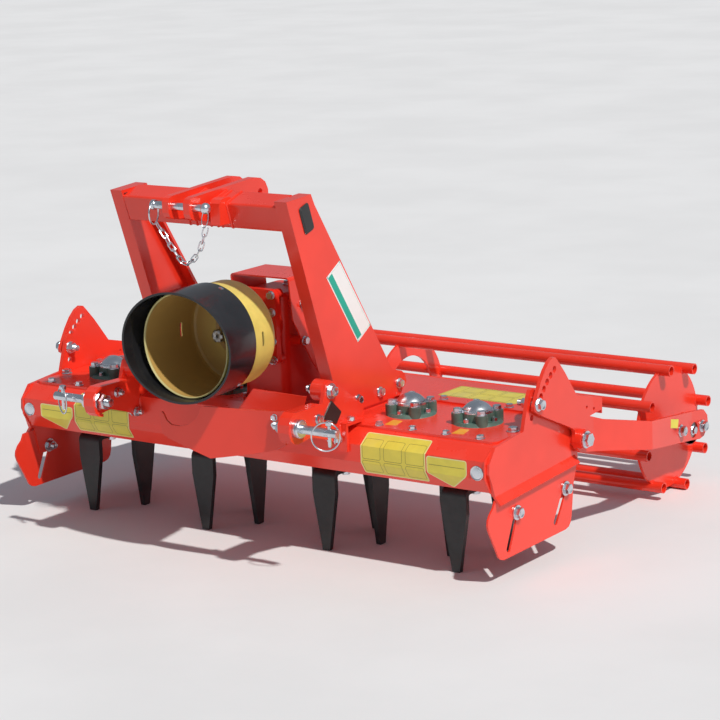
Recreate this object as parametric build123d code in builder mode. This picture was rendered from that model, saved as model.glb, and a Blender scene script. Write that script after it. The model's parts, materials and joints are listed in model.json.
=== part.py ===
from build123d import *
import os
from math import atan2, cos, degrees, radians, sin, sqrt, tan

# Tractor-mounted power harrow with a cage roller, millimetres.
# X is across the machine, +Y points to the rear, +Z is up, the ground is z = 0.
# Every profile below is drawn from the line of the rotor axes (y = 0 on SIDE,
# TOP and FRONT), and those planes carry the shift to the frame's own origin.

# ---------------------------------------------------------------- rotors
ROTOR_COUNT = 7
ROTOR_PITCH = 200.0
TIP_RADIUS = 117.0                # outside of the knives
SPINDLE_RADIUS = 20.0
SPINDLE_FIT = 0.05                # radial running clearance in the trough's bores
SPINDLE_LENGTH = 40.0
HUB_RADIUS = 62.0
HUB_THICKNESS = 22.0
HUB_GAP = 2.0                     # between the hub and the trough's floor
KNIFE_THICKNESS = 14.0
KNIFE_TOP_WIDTH = 72.0
KNIFE_TIP_WIDTH = 22.0
KNIFE_BEND = 20.0                 # outer radius of the bend
KNIFE_SPLIT = 8.0                 # half the gap between a hub's two knives
KNIFE_TAPER_Z = 150.0             # the blade narrows below this height

# ---------------------------------------------------------------- gear trough
END_MARGIN = 53.0                 # from the outer rotor pitch line to the end plate
TROUGH_LENGTH = ROTOR_COUNT * ROTOR_PITCH + 2 * END_MARGIN
TROUGH_LOW_Z = 238.0
TROUGH_TOP_Z = 352.0
TROUGH_HALF_DEPTH = 205.0
TROUGH_FLOOR_HALF = 181.0
COVER_THICKNESS = 6.0
COVER_HALF_DEPTH = 154.0
COVER_TOP_Z = TROUGH_TOP_Z + COVER_THICKNESS
HOUSING_RADIUS = 64.0             # foot of a bearing housing
HOUSING_FOOT = 8.0
HOUSING_HEIGHT = 28.0
LOBE_RADIUS = 16.0
LOBE_CIRCLE = 50.0
DOME_RADIUS = 36.0
DOME_BRIM = 42.0
DOME_HEIGHT = 27.0
SHELF_FRONT_Y = 132.0
SHELF_REAR_Y = 350.0
SHELF_THICKNESS = 5.0

# ---------------------------------------------------------------- end plates
PLATE_THICKNESS = 10.0
PLATE_INNER_X = TROUGH_LENGTH / 2
PLATE_OUTER_X = PLATE_INNER_X + PLATE_THICKNESS
SEAT_THICKNESS = 4.0              # inner tab that the deflector is bolted to
FOLD_FRONT = (-180.0, 229.7)      # fold line of the lip under the plate
FOLD_REAR = (191.0, 250.0)
LIP_REACH = 15.5
LIP_DROP = 20.0
DEFLECTOR_THICKNESS = 5.0
SLOT_WIDTH = 18.0
DEFLECTOR_LEAD = 28.0             # the left one is bolted that much further forward

# ---------------------------------------------------------------- roller and arms
PIVOT_Y, PIVOT_Z = 190.0, 293.0
PIVOT_PIN_RADIUS = 12.0
PIVOT_BOSS_RADIUS = 25.0
PIVOT_BOSS_LENGTH = 16.0
HOLE_ARC = 233.0                  # from the pivot to the adjusting holes
HOLE_FIRST = 33.8                 # degrees above the forward line
HOLE_STEP = 5.26
HOLE_COUNT = 6
LOCK_RADIUS = 8.0
ARM_GAP = 8.0                     # between an end plate and its arm
ARM_THICKNESS = 10.0
ARM_INNER_X = PLATE_OUTER_X + ARM_GAP
ARM_OUTER_X = ARM_INNER_X + ARM_THICKNESS
ARM_BEND_X = 24.0                 # how far the bar swings out at its bend
ARM_BEND_Y = 515.0
ARM_BEND_RUN = 258.0              # from the bend back to the straight part
ROLLER_Y = 787.0
AXLE_RADIUS = 20.0
AXLE_FIT = 0.1
AXLE_HOLE_GAP = 1.5               # between the axle and the hole in the arm
TUBE_COUNT = 8
TUBE_RADIUS = 15.0
TUBE_WALL = 3.0
TUBE_CIRCLE = 172.0
TUBE_PHASE = 13.64                # first tube above the rearward line
ROLLER_END_GAP = 17.0             # tube ends behind the end plates' inner faces
TUBE_HALF_LENGTH = PLATE_INNER_X - ROLLER_END_GAP
DISC_INSET = 38.0                 # how far the tubes stand past the end discs
DISC_X = TUBE_HALF_LENGTH - DISC_INSET
DISC_THICKNESS = 8.0
DISC_RADIUS = 168.0
RING_X = -155.0                   # the inner ring that stiffens the cage
RING_INNER = 116.0
ROLLER_Z = TUBE_CIRCLE * cos(radians(TUBE_PHASE)) + TUBE_RADIUS

# ---------------------------------------------------------------- headstock
POST_OUTER_X = ROTOR_PITCH + 81.0
POST_FLANGE = 37.0
POST_WALL = 6.0
POST_FOOT_Z = COVER_TOP_Z + 10.0
FOOT_THICKNESS = 9.5
CROSS_TUBE = 70.0
CROSS_TUBE_Y, CROSS_TUBE_Z = -275.0, 902.0
LINK_PIN_RADIUS = 9.5
LINK_PIN_Y, LINK_PIN_Z = -385.0, 920.0
LINK_GAP = 47.0
LINK_PLATE = 20.0
LOWER_PIN_RADIUS = 11.0
LOWER_PIN_Y, LOWER_PIN_Z = -388.0, 397.0
LOWER_PIN_TIP_X = 455.0
PIN_COLLAR_RADIUS = 23.0
SHOULDER_X = 341.5                # 683 mm across the lower pins' shoulders
EAR_OUTER_X = SHOULDER_X - 10.5
EAR_PLATE = 10.0
EAR_INNER_X = EAR_OUTER_X - EAR_PLATE
EAR_FLANGE = 24.0                 # how far the ear's rim turns inboard
BEAM_PLATE = 8.0
BEAM_FRONT_Y = -TROUGH_HALF_DEPTH - BEAM_PLATE
BEAM_TOP_Z = COVER_TOP_Z + 14.0
BEAM_REAR_Y = -140.0

# ---------------------------------------------------------------- drive
SHAFT_Z = 573.0
SHAFT_RADIUS = 17.4               # outside of the splines
SPLINE_LENGTH = 74.0
JOURNAL_RADIUS = 20.0
JOURNAL_FIT = 0.1
SHAFT_TIP_Y = -272.0
GEARBOX_HALF_WIDTH = 72.0
GEARBOX_HALF_DEPTH = 85.0
GEARBOX_HEIGHT = 296.0
FLANGE_HALF = 76.0
FLANGE_THICKNESS = 18.0
NOSE_Y = -125.0                   # front face of the gearbox
SHIELD_LEFT_X, SHIELD_RIGHT_X = -81.0, 109.0
SHIELD_TOP_Z = 702.0
SHIELD_PLATE = 4.0
GUARD_RADIUS = 135.0
GUARD_WALL = 3.0
GUARD_FRONT_Y = -434.0
SLEEVE_RADIUS = 62.0

REAR_Y = ROLLER_Y + TUBE_CIRCLE * cos(radians(TUBE_PHASE)) + TUBE_RADIUS
ROTOR_Y = -(REAR_Y + GUARD_FRONT_Y) / 2

SIDE = Plane(origin=(0, ROTOR_Y, 0), x_dir=(0, 1, 0), z_dir=(1, 0, 0))
TOP = Plane(origin=(0, ROTOR_Y, 0), x_dir=(1, 0, 0), z_dir=(0, 0, 1))
FRONT = Plane(origin=(0, ROTOR_Y, 0), x_dir=(1, 0, 0), z_dir=(0, -1, 0))
MIRROR = Plane.YZ

pieces = {}

# ================================================================ gear trough
trough_profile = [
    (-TROUGH_FLOOR_HALF, TROUGH_LOW_Z),
    (-TROUGH_HALF_DEPTH, TROUGH_LOW_Z + 38),
    (-TROUGH_HALF_DEPTH, TROUGH_TOP_Z - 32),
    (-TROUGH_HALF_DEPTH + 45, TROUGH_TOP_Z),
    (TROUGH_HALF_DEPTH - 15, TROUGH_TOP_Z),
    (TROUGH_HALF_DEPTH, TROUGH_TOP_Z - 32),
    (TROUGH_HALF_DEPTH, TROUGH_LOW_Z + 38),
    (TROUGH_FLOOR_HALF, TROUGH_LOW_Z),
]
with BuildPart() as gear_trough:
    with BuildSketch(SIDE.offset(-TROUGH_LENGTH / 2)):
        with BuildLine():
            Polyline(*trough_profile, close=True)
        make_face()
    extrude(amount=TROUGH_LENGTH)
    bend = gear_trough.edges().filter_by(Axis.X).group_by(Axis.Z)[-1].sort_by(Axis.Y)[0]
    fillet(bend, 24)
    with BuildSketch(TOP.offset(TROUGH_LOW_Z)):
        with GridLocations(ROTOR_PITCH, 1, ROTOR_COUNT, 1):
            Circle(SPINDLE_RADIUS + SPINDLE_FIT)
    extrude(amount=SPINDLE_LENGTH, mode=Mode.SUBTRACT)
pieces["gear_trough"] = gear_trough

with BuildPart() as trough_cover:
    with BuildSketch(TOP.offset(TROUGH_TOP_Z)):
        RectangleRounded(TROUGH_LENGTH - 4, 2 * COVER_HALF_DEPTH, 18)
    extrude(amount=COVER_THICKNESS)
pieces["trough_cover"] = trough_cover

with BuildPart() as rear_shelf:
    with BuildSketch(SIDE.offset(-TROUGH_LENGTH / 2 + 1)):
        with BuildLine():
            Polyline(
                (SHELF_FRONT_Y, COVER_TOP_Z),
                (SHELF_FRONT_Y, COVER_TOP_Z + SHELF_THICKNESS),
                (SHELF_REAR_Y, COVER_TOP_Z + SHELF_THICKNESS),
                (SHELF_REAR_Y, COVER_TOP_Z - 36),
                (SHELF_REAR_Y - SHELF_THICKNESS, COVER_TOP_Z - 36),
                (SHELF_REAR_Y - SHELF_THICKNESS, COVER_TOP_Z),
                close=True,
            )
        make_face()
    extrude(amount=TROUGH_LENGTH - 2)
pieces["rear_shelf"] = rear_shelf

# ================================================================ rotor bearings
LEAD = (ROTOR_COUNT + 1) // 2
BEARING_X = [ROTOR_PITCH * (k - LEAD) for k in range(1, ROTOR_COUNT + 1) if k != LEAD]
with BuildPart() as bearing_housings:
    for x in BEARING_X:
        with BuildSketch(TOP.offset(COVER_TOP_Z)):
            with Locations((x, 0)):
                Circle(HOUSING_RADIUS)
        extrude(amount=HOUSING_FOOT, taper=40)
        with BuildSketch(TOP.offset(COVER_TOP_Z)):
            with Locations((x, 0)):
                Circle(DOME_BRIM)
                with PolarLocations(LOBE_CIRCLE, 4, start_angle=45):
                    Circle(LOBE_RADIUS)
                with PolarLocations(LOBE_CIRCLE / 2, 4, start_angle=45):
                    Rectangle(LOBE_CIRCLE, 1.6 * LOBE_RADIUS)
        extrude(amount=HOUSING_HEIGHT)
pieces["bearing_housings"] = bearing_housings

with BuildPart() as bearing_domes:
    seat_z = COVER_TOP_Z + HOUSING_HEIGHT
    centre_z = (DOME_HEIGHT ** 2 - DOME_RADIUS ** 2 - 8 ** 2) / (2 * (DOME_HEIGHT - 8))
    middle_z = centre_z + sqrt((DOME_HEIGHT - centre_z) ** 2 - (DOME_RADIUS / 2) ** 2)
    for x in BEARING_X:
        with BuildSketch(Plane(origin=(x, ROTOR_Y, seat_z), x_dir=(1, 0, 0), z_dir=(0, -1, 0))):
            with BuildLine():
                Polyline(
                    (0, DOME_HEIGHT), (0, 0), (DOME_BRIM, 0), (DOME_BRIM, 3), (DOME_RADIUS, 4.5),
                    (DOME_RADIUS, 8),
                )
                ThreePointArc((DOME_RADIUS, 8), (DOME_RADIUS / 2, middle_z), (0, DOME_HEIGHT))
            make_face()
        revolve(axis=Axis((x, ROTOR_Y, 0), (0, 0, 1)))
pieces["bearing_domes"] = bearing_domes

# ================================================================ end plates
end_plate_profile = [
    FOLD_FRONT, (-193, 266), (-204, 290), (-202, 315), (-172, 351), (-72, 360), (-46, 362),
    (-18, 446), (-10, 458), (4, 460), (24, 442), (110, 376), (194, 352), (197, 307), (214, 252), FOLD_REAR,
]
seat_profile = [
    (-168, 230.4), (-150, 150), (-52, 150), (-40, 190), (90, 190), (104, 150), (178, 150),
    (195, 178), (216, 236), (214, 252), FOLD_REAR,
]
fold_y, fold_z = FOLD_REAR[0] - FOLD_FRONT[0], FOLD_REAR[1] - FOLD_FRONT[1]
lock_y = PIVOT_Y - HOLE_ARC * cos(radians(HOLE_FIRST))
lock_z = PIVOT_Z + HOLE_ARC * sin(radians(HOLE_FIRST))
with BuildPart() as end_plate_right:
    with BuildSketch(SIDE.offset(PLATE_INNER_X)):
        with BuildLine():
            Polyline(*end_plate_profile, close=True)
        make_face()
    extrude(amount=PLATE_THICKNESS)
    with BuildSketch(SIDE.offset(PLATE_INNER_X)):
        with BuildLine():
            Polyline(*seat_profile, close=True)
        make_face()
    extrude(amount=SEAT_THICKNESS)
    fold = Plane(
        origin=(0, ROTOR_Y + FOLD_FRONT[0], FOLD_FRONT[1]), x_dir=(1, 0, 0), z_dir=(0, fold_y, fold_z),
    )
    with BuildSketch(fold):
        with BuildLine():
            x0 = PLATE_INNER_X + SEAT_THICKNESS
            x1 = PLATE_OUTER_X
            Polyline(
                (x0, -3), (x1, -3), (x1, 0), (x1 + LIP_REACH, LIP_DROP),
                (x1 + LIP_REACH - 4.7, LIP_DROP + 3.6), (x0, 3), close=True,
            )
        make_face()
    extrude(amount=sqrt(fold_y ** 2 + fold_z ** 2))
    with BuildSketch(SIDE.offset(PLATE_INNER_X)):
        with Locations((lock_y, lock_z)):
            Circle(LOCK_RADIUS + 0.5)
        with Locations((-7, 388)):
            Circle(LOCK_RADIUS)
    extrude(amount=PLATE_THICKNESS, mode=Mode.SUBTRACT)
    with BuildSketch(SIDE.offset(PLATE_OUTER_X)):
        with Locations((PIVOT_Y, PIVOT_Z)):
            Circle(22)
    extrude(amount=ARM_GAP - 2)
pieces["end_plate_right"] = end_plate_right
with BuildPart() as end_plate_left:
    mirror(end_plate_right.part, about=MIRROR)
pieces["end_plate_left"] = end_plate_left

# soil deflectors, bolted to the seats below the lips and slotted for height
DEFLECTOR_X = PLATE_INNER_X + SEAT_THICKNESS
deflector_profile = [
    (-179, 219.5), (-188, 203), (-203, 191), (-212, 178), (-214.5, 165), (-211, 152), (-176, 88), (-170, 76),
    (-160, 67), (-146, 63), (143, 66), (158, 70), (168, 80), (173, 96), (185, 178), (189, 239.5),
]
slots = [((-85, 171), (-125, 86)), ((144, 176), (95, 98))]
for side, lead in (("right", 0), ("left", DEFLECTOR_LEAD)):
    with BuildPart() as deflector:
        with BuildSketch(SIDE.offset(DEFLECTOR_X)):
            with BuildLine():
                Polyline(*[(y - lead, z - lead * fold_z / fold_y) for y, z in deflector_profile], close=True)
            make_face()
            for top, low in slots:
                run = sqrt((top[0] - low[0]) ** 2 + (top[1] - low[1]) ** 2)
                turn = degrees(atan2(top[1] - low[1], top[0] - low[0]))
                with Locations(((top[0] + low[0]) / 2 - lead, (top[1] + low[1]) / 2)):
                    SlotCenterToCenter(run, SLOT_WIDTH, rotation=turn, mode=Mode.SUBTRACT)
        extrude(amount=DEFLECTOR_THICKNESS)
        if side == "left":
            mirror(about=MIRROR, mode=Mode.REPLACE)
    pieces[f"deflector_{side}"] = deflector

# ================================================================ hitch
with BuildPart() as hitch_beam:
    with BuildSketch(SIDE.offset(-EAR_OUTER_X - 20)):
        with BuildLine():
            inside_z = BEAM_TOP_Z - BEAM_PLATE
            Polyline(
                (-TROUGH_HALF_DEPTH, TROUGH_TOP_Z - 52), (BEAM_FRONT_Y, TROUGH_TOP_Z - 52),
                (BEAM_FRONT_Y, BEAM_TOP_Z), (BEAM_REAR_Y, BEAM_TOP_Z), (BEAM_REAR_Y, COVER_TOP_Z),
                (BEAM_REAR_Y - BEAM_PLATE, COVER_TOP_Z), (BEAM_REAR_Y - BEAM_PLATE, inside_z),
                (-TROUGH_HALF_DEPTH, inside_z), close=True,
            )
        make_face()
    extrude(amount=2 * (EAR_OUTER_X + 20))
    with BuildSketch(FRONT.offset(-BEAM_FRONT_Y)):
        with BuildLine():
            foot_z = BEAM_TOP_Z - BEAM_PLATE
            Polyline((8, foot_z), (14, BEAM_TOP_Z + 6), (61, 431), (229, 428), (205, foot_z), close=True)
        make_face()
    extrude(amount=-5)
pieces["hitch_beam"] = hitch_beam

post_profile = [
    (-325, 938), (-225, 944), (-212, 916), (84, 452), (94, 442), (133, 430), (146, 420), (152, 398),
    (122, POST_FOOT_Z), (-135, POST_FOOT_Z),
]
post_pocket = [
    (-316, 930), (-230, 936), (-219, 912), (77, 448), (88, 437), (132, 423), (134, POST_FOOT_Z - 18),
    (-124, POST_FOOT_Z - 18),
]
with BuildPart() as post_right:
    with BuildSketch(SIDE.offset(POST_OUTER_X)):
        with BuildLine():
            Polyline(*post_profile, close=True)
        make_face()
    extrude(amount=-POST_FLANGE)
    with BuildSketch(SIDE.offset(POST_OUTER_X - POST_WALL)):
        with BuildLine():
            Polyline(*post_pocket, close=True)
        make_face()
    extrude(amount=-POST_FLANGE, mode=Mode.SUBTRACT)
pieces["post_right"] = post_right
with BuildPart() as post_left:
    mirror(post_right.part, about=MIRROR)
pieces["post_left"] = post_left

with BuildPart() as post_feet:
    for side in (1, -1):
        with BuildSketch(FRONT.offset(104)):
            with BuildLine():
                x = side * (POST_OUTER_X - POST_WALL)
                y = side * FOOT_THICKNESS
                Polyline(
                    (x, COVER_TOP_Z), (x, COVER_TOP_Z + 74), (x - y, COVER_TOP_Z + 74),
                    (x - y, POST_FOOT_Z), (x - 3 * y, POST_FOOT_Z), (x - 3 * y, COVER_TOP_Z), close=True,
                )
            make_face()
        extrude(amount=-208)
    with BuildSketch(TOP.offset(COVER_TOP_Z)):
        with Locations((-ROTOR_PITCH, 0), (ROTOR_PITCH, 0)):
            Circle(HOUSING_RADIUS + 4)
    extrude(amount=HOUSING_HEIGHT, mode=Mode.SUBTRACT)
pieces["post_feet"] = post_feet

LEAN = degrees(atan2(325 - 131, 938 - 360))
with BuildPart() as cross_tube:
    with BuildSketch(SIDE.offset(-(POST_OUTER_X - POST_FLANGE))):
        with Locations((CROSS_TUBE_Y, CROSS_TUBE_Z)):
            RectangleRounded(CROSS_TUBE, CROSS_TUBE, 6, rotation=LEAN)
            RectangleRounded(CROSS_TUBE - 10, CROSS_TUBE - 10, 3, rotation=LEAN, mode=Mode.SUBTRACT)
    extrude(amount=2 * (POST_OUTER_X - POST_FLANGE))
pieces["cross_tube"] = cross_tube

link_profile = [
    (-404, 905), (-404, 932), (-398, 942), (-385, 946), (-145, 962), (-118, 957), (-100, 945),
    (-90, 925), (-90, 902), (-100, 890), (-240, 884), (-330, 878), (-385, 888), (-398, 894),
]
lug_profile = [(-345, 872), (-345, 926), (-337, 935), (-325, 938), (-306, 938), (-290, 932), (-290, 872)]
with BuildPart() as link_plates:
    for x in (-LINK_GAP / 2 - LINK_PLATE, LINK_GAP / 2):
        with BuildSketch(SIDE.offset(x)):
            with BuildLine():
                Polyline(*link_profile, close=True)
            make_face()
            with Locations((LINK_PIN_Y, LINK_PIN_Z)):
                Circle(LINK_PIN_RADIUS + 0.3, mode=Mode.SUBTRACT)
            with Locations((-123, 922)):
                Circle(9, mode=Mode.SUBTRACT)
            with Locations((CROSS_TUBE_Y, CROSS_TUBE_Z)):
                RectangleRounded(CROSS_TUBE, CROSS_TUBE, 6, rotation=LEAN, mode=Mode.SUBTRACT)
        extrude(amount=LINK_PLATE)
    with BuildSketch(SIDE.offset(60)):
        with BuildLine():
            Polyline(*lug_profile, close=True)
        make_face()
        with Locations((CROSS_TUBE_Y, CROSS_TUBE_Z)):
            RectangleRounded(CROSS_TUBE, CROSS_TUBE, 6, rotation=LEAN, mode=Mode.SUBTRACT)
    extrude(amount=30)
pieces["link_plates"] = link_plates

with BuildPart() as top_link_pin:
    with BuildSketch(SIDE.offset(-92)):
        with Locations((LINK_PIN_Y, LINK_PIN_Z)):
            Circle(LINK_PIN_RADIUS)
    extrude(amount=165)
pieces["top_link_pin"] = top_link_pin

ear_profile = [
    (BEAM_FRONT_Y, 318), (BEAM_FRONT_Y, BEAM_TOP_Z), (BEAM_REAR_Y, BEAM_TOP_Z), (BEAM_REAR_Y, COVER_TOP_Z),
    (-110, COVER_TOP_Z), (-110, 396), (-226, 480), (-244, 487), (-262, 480), (-271, 462), (-280, 434),
    (-369, 436), (-392, 436), (-410, 426), (-419, 410), (-420, 390), (-413, 371), (-400, 360), (-384, 356),
    (-329, 362), (-262, 340),
]
ear_rim = [
    (-271, 430), (-284, 435), (-369, 436), (-392, 436), (-410, 426), (-419, 410), (-420, 390), (-413, 371),
    (-400, 360), (-384, 356), (-384, 364), (-396, 367), (-406, 376), (-412, 391), (-411, 408), (-404, 421),
    (-390, 428), (-369, 428), (-284, 427),
]
with BuildPart() as ear_right:
    with BuildSketch(SIDE.offset(EAR_INNER_X)):
        with BuildLine():
            Polyline(*ear_profile, close=True)
        make_face()
        with Locations((LOWER_PIN_Y, LOWER_PIN_Z)):
            Circle(LOWER_PIN_RADIUS + 0.1, mode=Mode.SUBTRACT)
    extrude(amount=EAR_PLATE)
    with BuildSketch(SIDE.offset(EAR_INNER_X)):
        with BuildLine():
            Polyline(*ear_rim, close=True)
        make_face()
    extrude(amount=-EAR_FLANGE)
    with BuildSketch(SIDE.offset(EAR_INNER_X)):
        with Locations((-244, 460)):
            Circle(27)
    extrude(amount=-35)
pieces["ear_right"] = ear_right
with BuildPart() as ear_left:
    mirror(ear_right.part, about=MIRROR)
pieces["ear_left"] = ear_left

with BuildPart() as lower_pin_right:
    with BuildSketch(SIDE.offset(EAR_INNER_X - 24)):
        with Locations((LOWER_PIN_Y, LOWER_PIN_Z)):
            Circle(LOWER_PIN_RADIUS)
    extrude(amount=LOWER_PIN_TIP_X - EAR_INNER_X + 24)
    with BuildSketch(SIDE.offset(EAR_OUTER_X)):
        with Locations((LOWER_PIN_Y, LOWER_PIN_Z)):
            Circle(PIN_COLLAR_RADIUS)
    extrude(amount=SHOULDER_X - EAR_OUTER_X)
    with BuildSketch(SIDE.offset(EAR_INNER_X)):
        with Locations((LOWER_PIN_Y, LOWER_PIN_Z)):
            RegularPolygon(19, 6, rotation=30)
    extrude(amount=-16)
pieces["lower_pin_right"] = lower_pin_right
with BuildPart() as lower_pin_left:
    mirror(lower_pin_right.part, about=MIRROR)
pieces["lower_pin_left"] = lower_pin_left

# hooked plate in front of the beam that holds the drive shaft when parked
HOOK_Y = -380.0
HOOK_PLATE = 5.0
with BuildPart() as shaft_cradle:
    with BuildSketch(FRONT.offset(-HOOK_Y)):
        with BuildLine():
            Polyline(
                (-99, 392), (-105, 384), (-104, 366), (-100, 342), (-96, 333), (-81, 325), (-17, 306),
                (53, 288),
                (95, 296), (213, 321), (264, 335), (EAR_INNER_X - EAR_FLANGE - 4, 350),
                (EAR_INNER_X - EAR_FLANGE - 5, 412), (EAR_INNER_X - EAR_FLANGE, 424),
                (EAR_INNER_X - EAR_FLANGE, 436),
                (270, 432), (39, 420), (29, 416), (24, 402), (11, 384), (-13, 368), (-42, 360), (-69, 361),
                (-84, 370), (-94, 388), close=True,
            )
        make_face()
    extrude(amount=HOOK_PLATE)
pieces["shaft_cradle"] = shaft_cradle

# ================================================================ gearbox and its shield
with BuildPart() as gearbox:
    with BuildSketch(TOP.offset(COVER_TOP_Z)):
        RectangleRounded(2 * GEARBOX_HALF_WIDTH, 2 * GEARBOX_HALF_DEPTH, 22)
    extrude(amount=GEARBOX_HEIGHT)
    fillet(gearbox.edges().group_by(Axis.Z)[-1], 12)
    with BuildSketch(TOP.offset(COVER_TOP_Z)):
        RectangleRounded(2 * GEARBOX_HALF_WIDTH + 8, 2 * GEARBOX_HALF_DEPTH + 30, 26)
    extrude(amount=16)
    with BuildSketch(FRONT.offset(GEARBOX_HALF_DEPTH - 20)):
        with Locations((0, SHAFT_Z)):
            Circle(64)
    extrude(amount=-NOSE_Y - GEARBOX_HALF_DEPTH + 20)
    with BuildSketch(FRONT.offset(-NOSE_Y)):
        with Locations((0, SHAFT_Z)):
            RectangleRounded(2 * FLANGE_HALF, 2 * FLANGE_HALF + 44, 20)
    extrude(amount=-FLANGE_THICKNESS)
    with BuildSketch(FRONT.offset(-NOSE_Y - FLANGE_THICKNESS)):
        with Locations((0, SHAFT_Z)):
            with GridLocations(2 * FLANGE_HALF - 26, 2 * FLANGE_HALF + 18, 2, 2):
                Circle(12)
    extrude(amount=-(GEARBOX_HALF_DEPTH - 67))
    pads = (
        (GEARBOX_HALF_WIDTH - 4, SHIELD_RIGHT_X - SHIELD_PLATE),
        (4 - GEARBOX_HALF_WIDTH, SHIELD_LEFT_X + SHIELD_PLATE),
    )
    for x, reach in pads:
        with BuildSketch(SIDE.offset(x)):
            with Locations((-55, 628), (-53, 530)):
                Circle(13)
        extrude(amount=reach - x)
    with BuildSketch(FRONT.offset(-NOSE_Y)):
        with Locations((0, SHAFT_Z)):
            Circle(JOURNAL_RADIUS + JOURNAL_FIT)
    extrude(amount=-60, mode=Mode.SUBTRACT)
pieces["gearbox"] = gearbox

with BuildPart() as input_shaft:
    with BuildSketch(FRONT.offset(66)):
        with Locations((0, SHAFT_Z)):
            Circle(JOURNAL_RADIUS)
    extrude(amount=-SHAFT_TIP_Y - SPLINE_LENGTH - 66)
    with BuildSketch(FRONT.offset(-SHAFT_TIP_Y - SPLINE_LENGTH)):
        with Locations((0, SHAFT_Z)):
            Circle(SHAFT_RADIUS)
    extrude(amount=SPLINE_LENGTH)
pieces["input_shaft"] = input_shaft

shield_side = [
    (-107, SHIELD_TOP_Z), (-95, 591), (-23, 472), (42, 392), (73, 392), (50, 560), (32, SHIELD_TOP_Z),
]
with BuildPart() as gearbox_shield:
    with BuildSketch(SIDE.offset(SHIELD_LEFT_X)):
        with BuildLine():
            Polyline(*shield_side, close=True)
        make_face()
    extrude(amount=SHIELD_RIGHT_X - SHIELD_LEFT_X)
    fillet(gearbox_shield.edges().filter_by(Axis.Y).group_by(Axis.Z)[-1], 10)
    with BuildSketch(FRONT.offset(150)):
        with Locations(((SHIELD_LEFT_X + SHIELD_RIGHT_X) / 2, (SHIELD_TOP_Z - SHIELD_PLATE + 340) / 2)):
            Rectangle(SHIELD_RIGHT_X - SHIELD_LEFT_X - 2 * SHIELD_PLATE, SHIELD_TOP_Z - SHIELD_PLATE - 340)
    extrude(amount=-260, mode=Mode.SUBTRACT)
pieces["gearbox_shield"] = gearbox_shield

with BuildPart() as guard_cone:
    with BuildSketch(SIDE):
        with BuildLine():
            r = SHAFT_Z + GUARD_RADIUS
            s = SHAFT_Z + SLEEVE_RADIUS
            w = GUARD_WALL
            Polyline(
                (-395, r - w), (-395, r), (-212, r), (-203, r - 3), (-199, r - 10), (-190, s + 6), (-186, s),
                (NOSE_Y, s), (NOSE_Y, s - 12), (NOSE_Y - w, s - 12), (NOSE_Y - w, s - w), (-188, s - w),
                (-193, s + 5), (-202, r - 12), (-205, r - 5), (-213, r - w), close=True,
            )
        make_face()
    revolve(axis=Axis((0, 0, SHAFT_Z), (0, 1, 0)))
    with BuildSketch(SIDE.offset(-GUARD_RADIUS - 1)):
        with Locations((-253, SHAFT_Z + 2)):
            SlotOverall(38, 8, rotation=90)
    extrude(amount=2 * GUARD_RADIUS + 2, mode=Mode.SUBTRACT)
pieces["guard_cone"] = guard_cone

with BuildPart() as guard_rim:
    with BuildSketch(FRONT.offset(290)):
        with Locations((0, SHAFT_Z)):
            Circle(141)
    with BuildSketch(FRONT.offset(-GUARD_FRONT_Y)):
        with Locations((0, SHAFT_Z)):
            Ellipse(175, 141)
    loft()
    with BuildSketch(FRONT.offset(290)):
        with Locations((0, SHAFT_Z)):
            Circle(135)
    with BuildSketch(FRONT.offset(-GUARD_FRONT_Y)):
        with Locations((0, SHAFT_Z)):
            Ellipse(169, 135)
    loft(mode=Mode.SUBTRACT)
pieces["guard_rim"] = guard_rim

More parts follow.
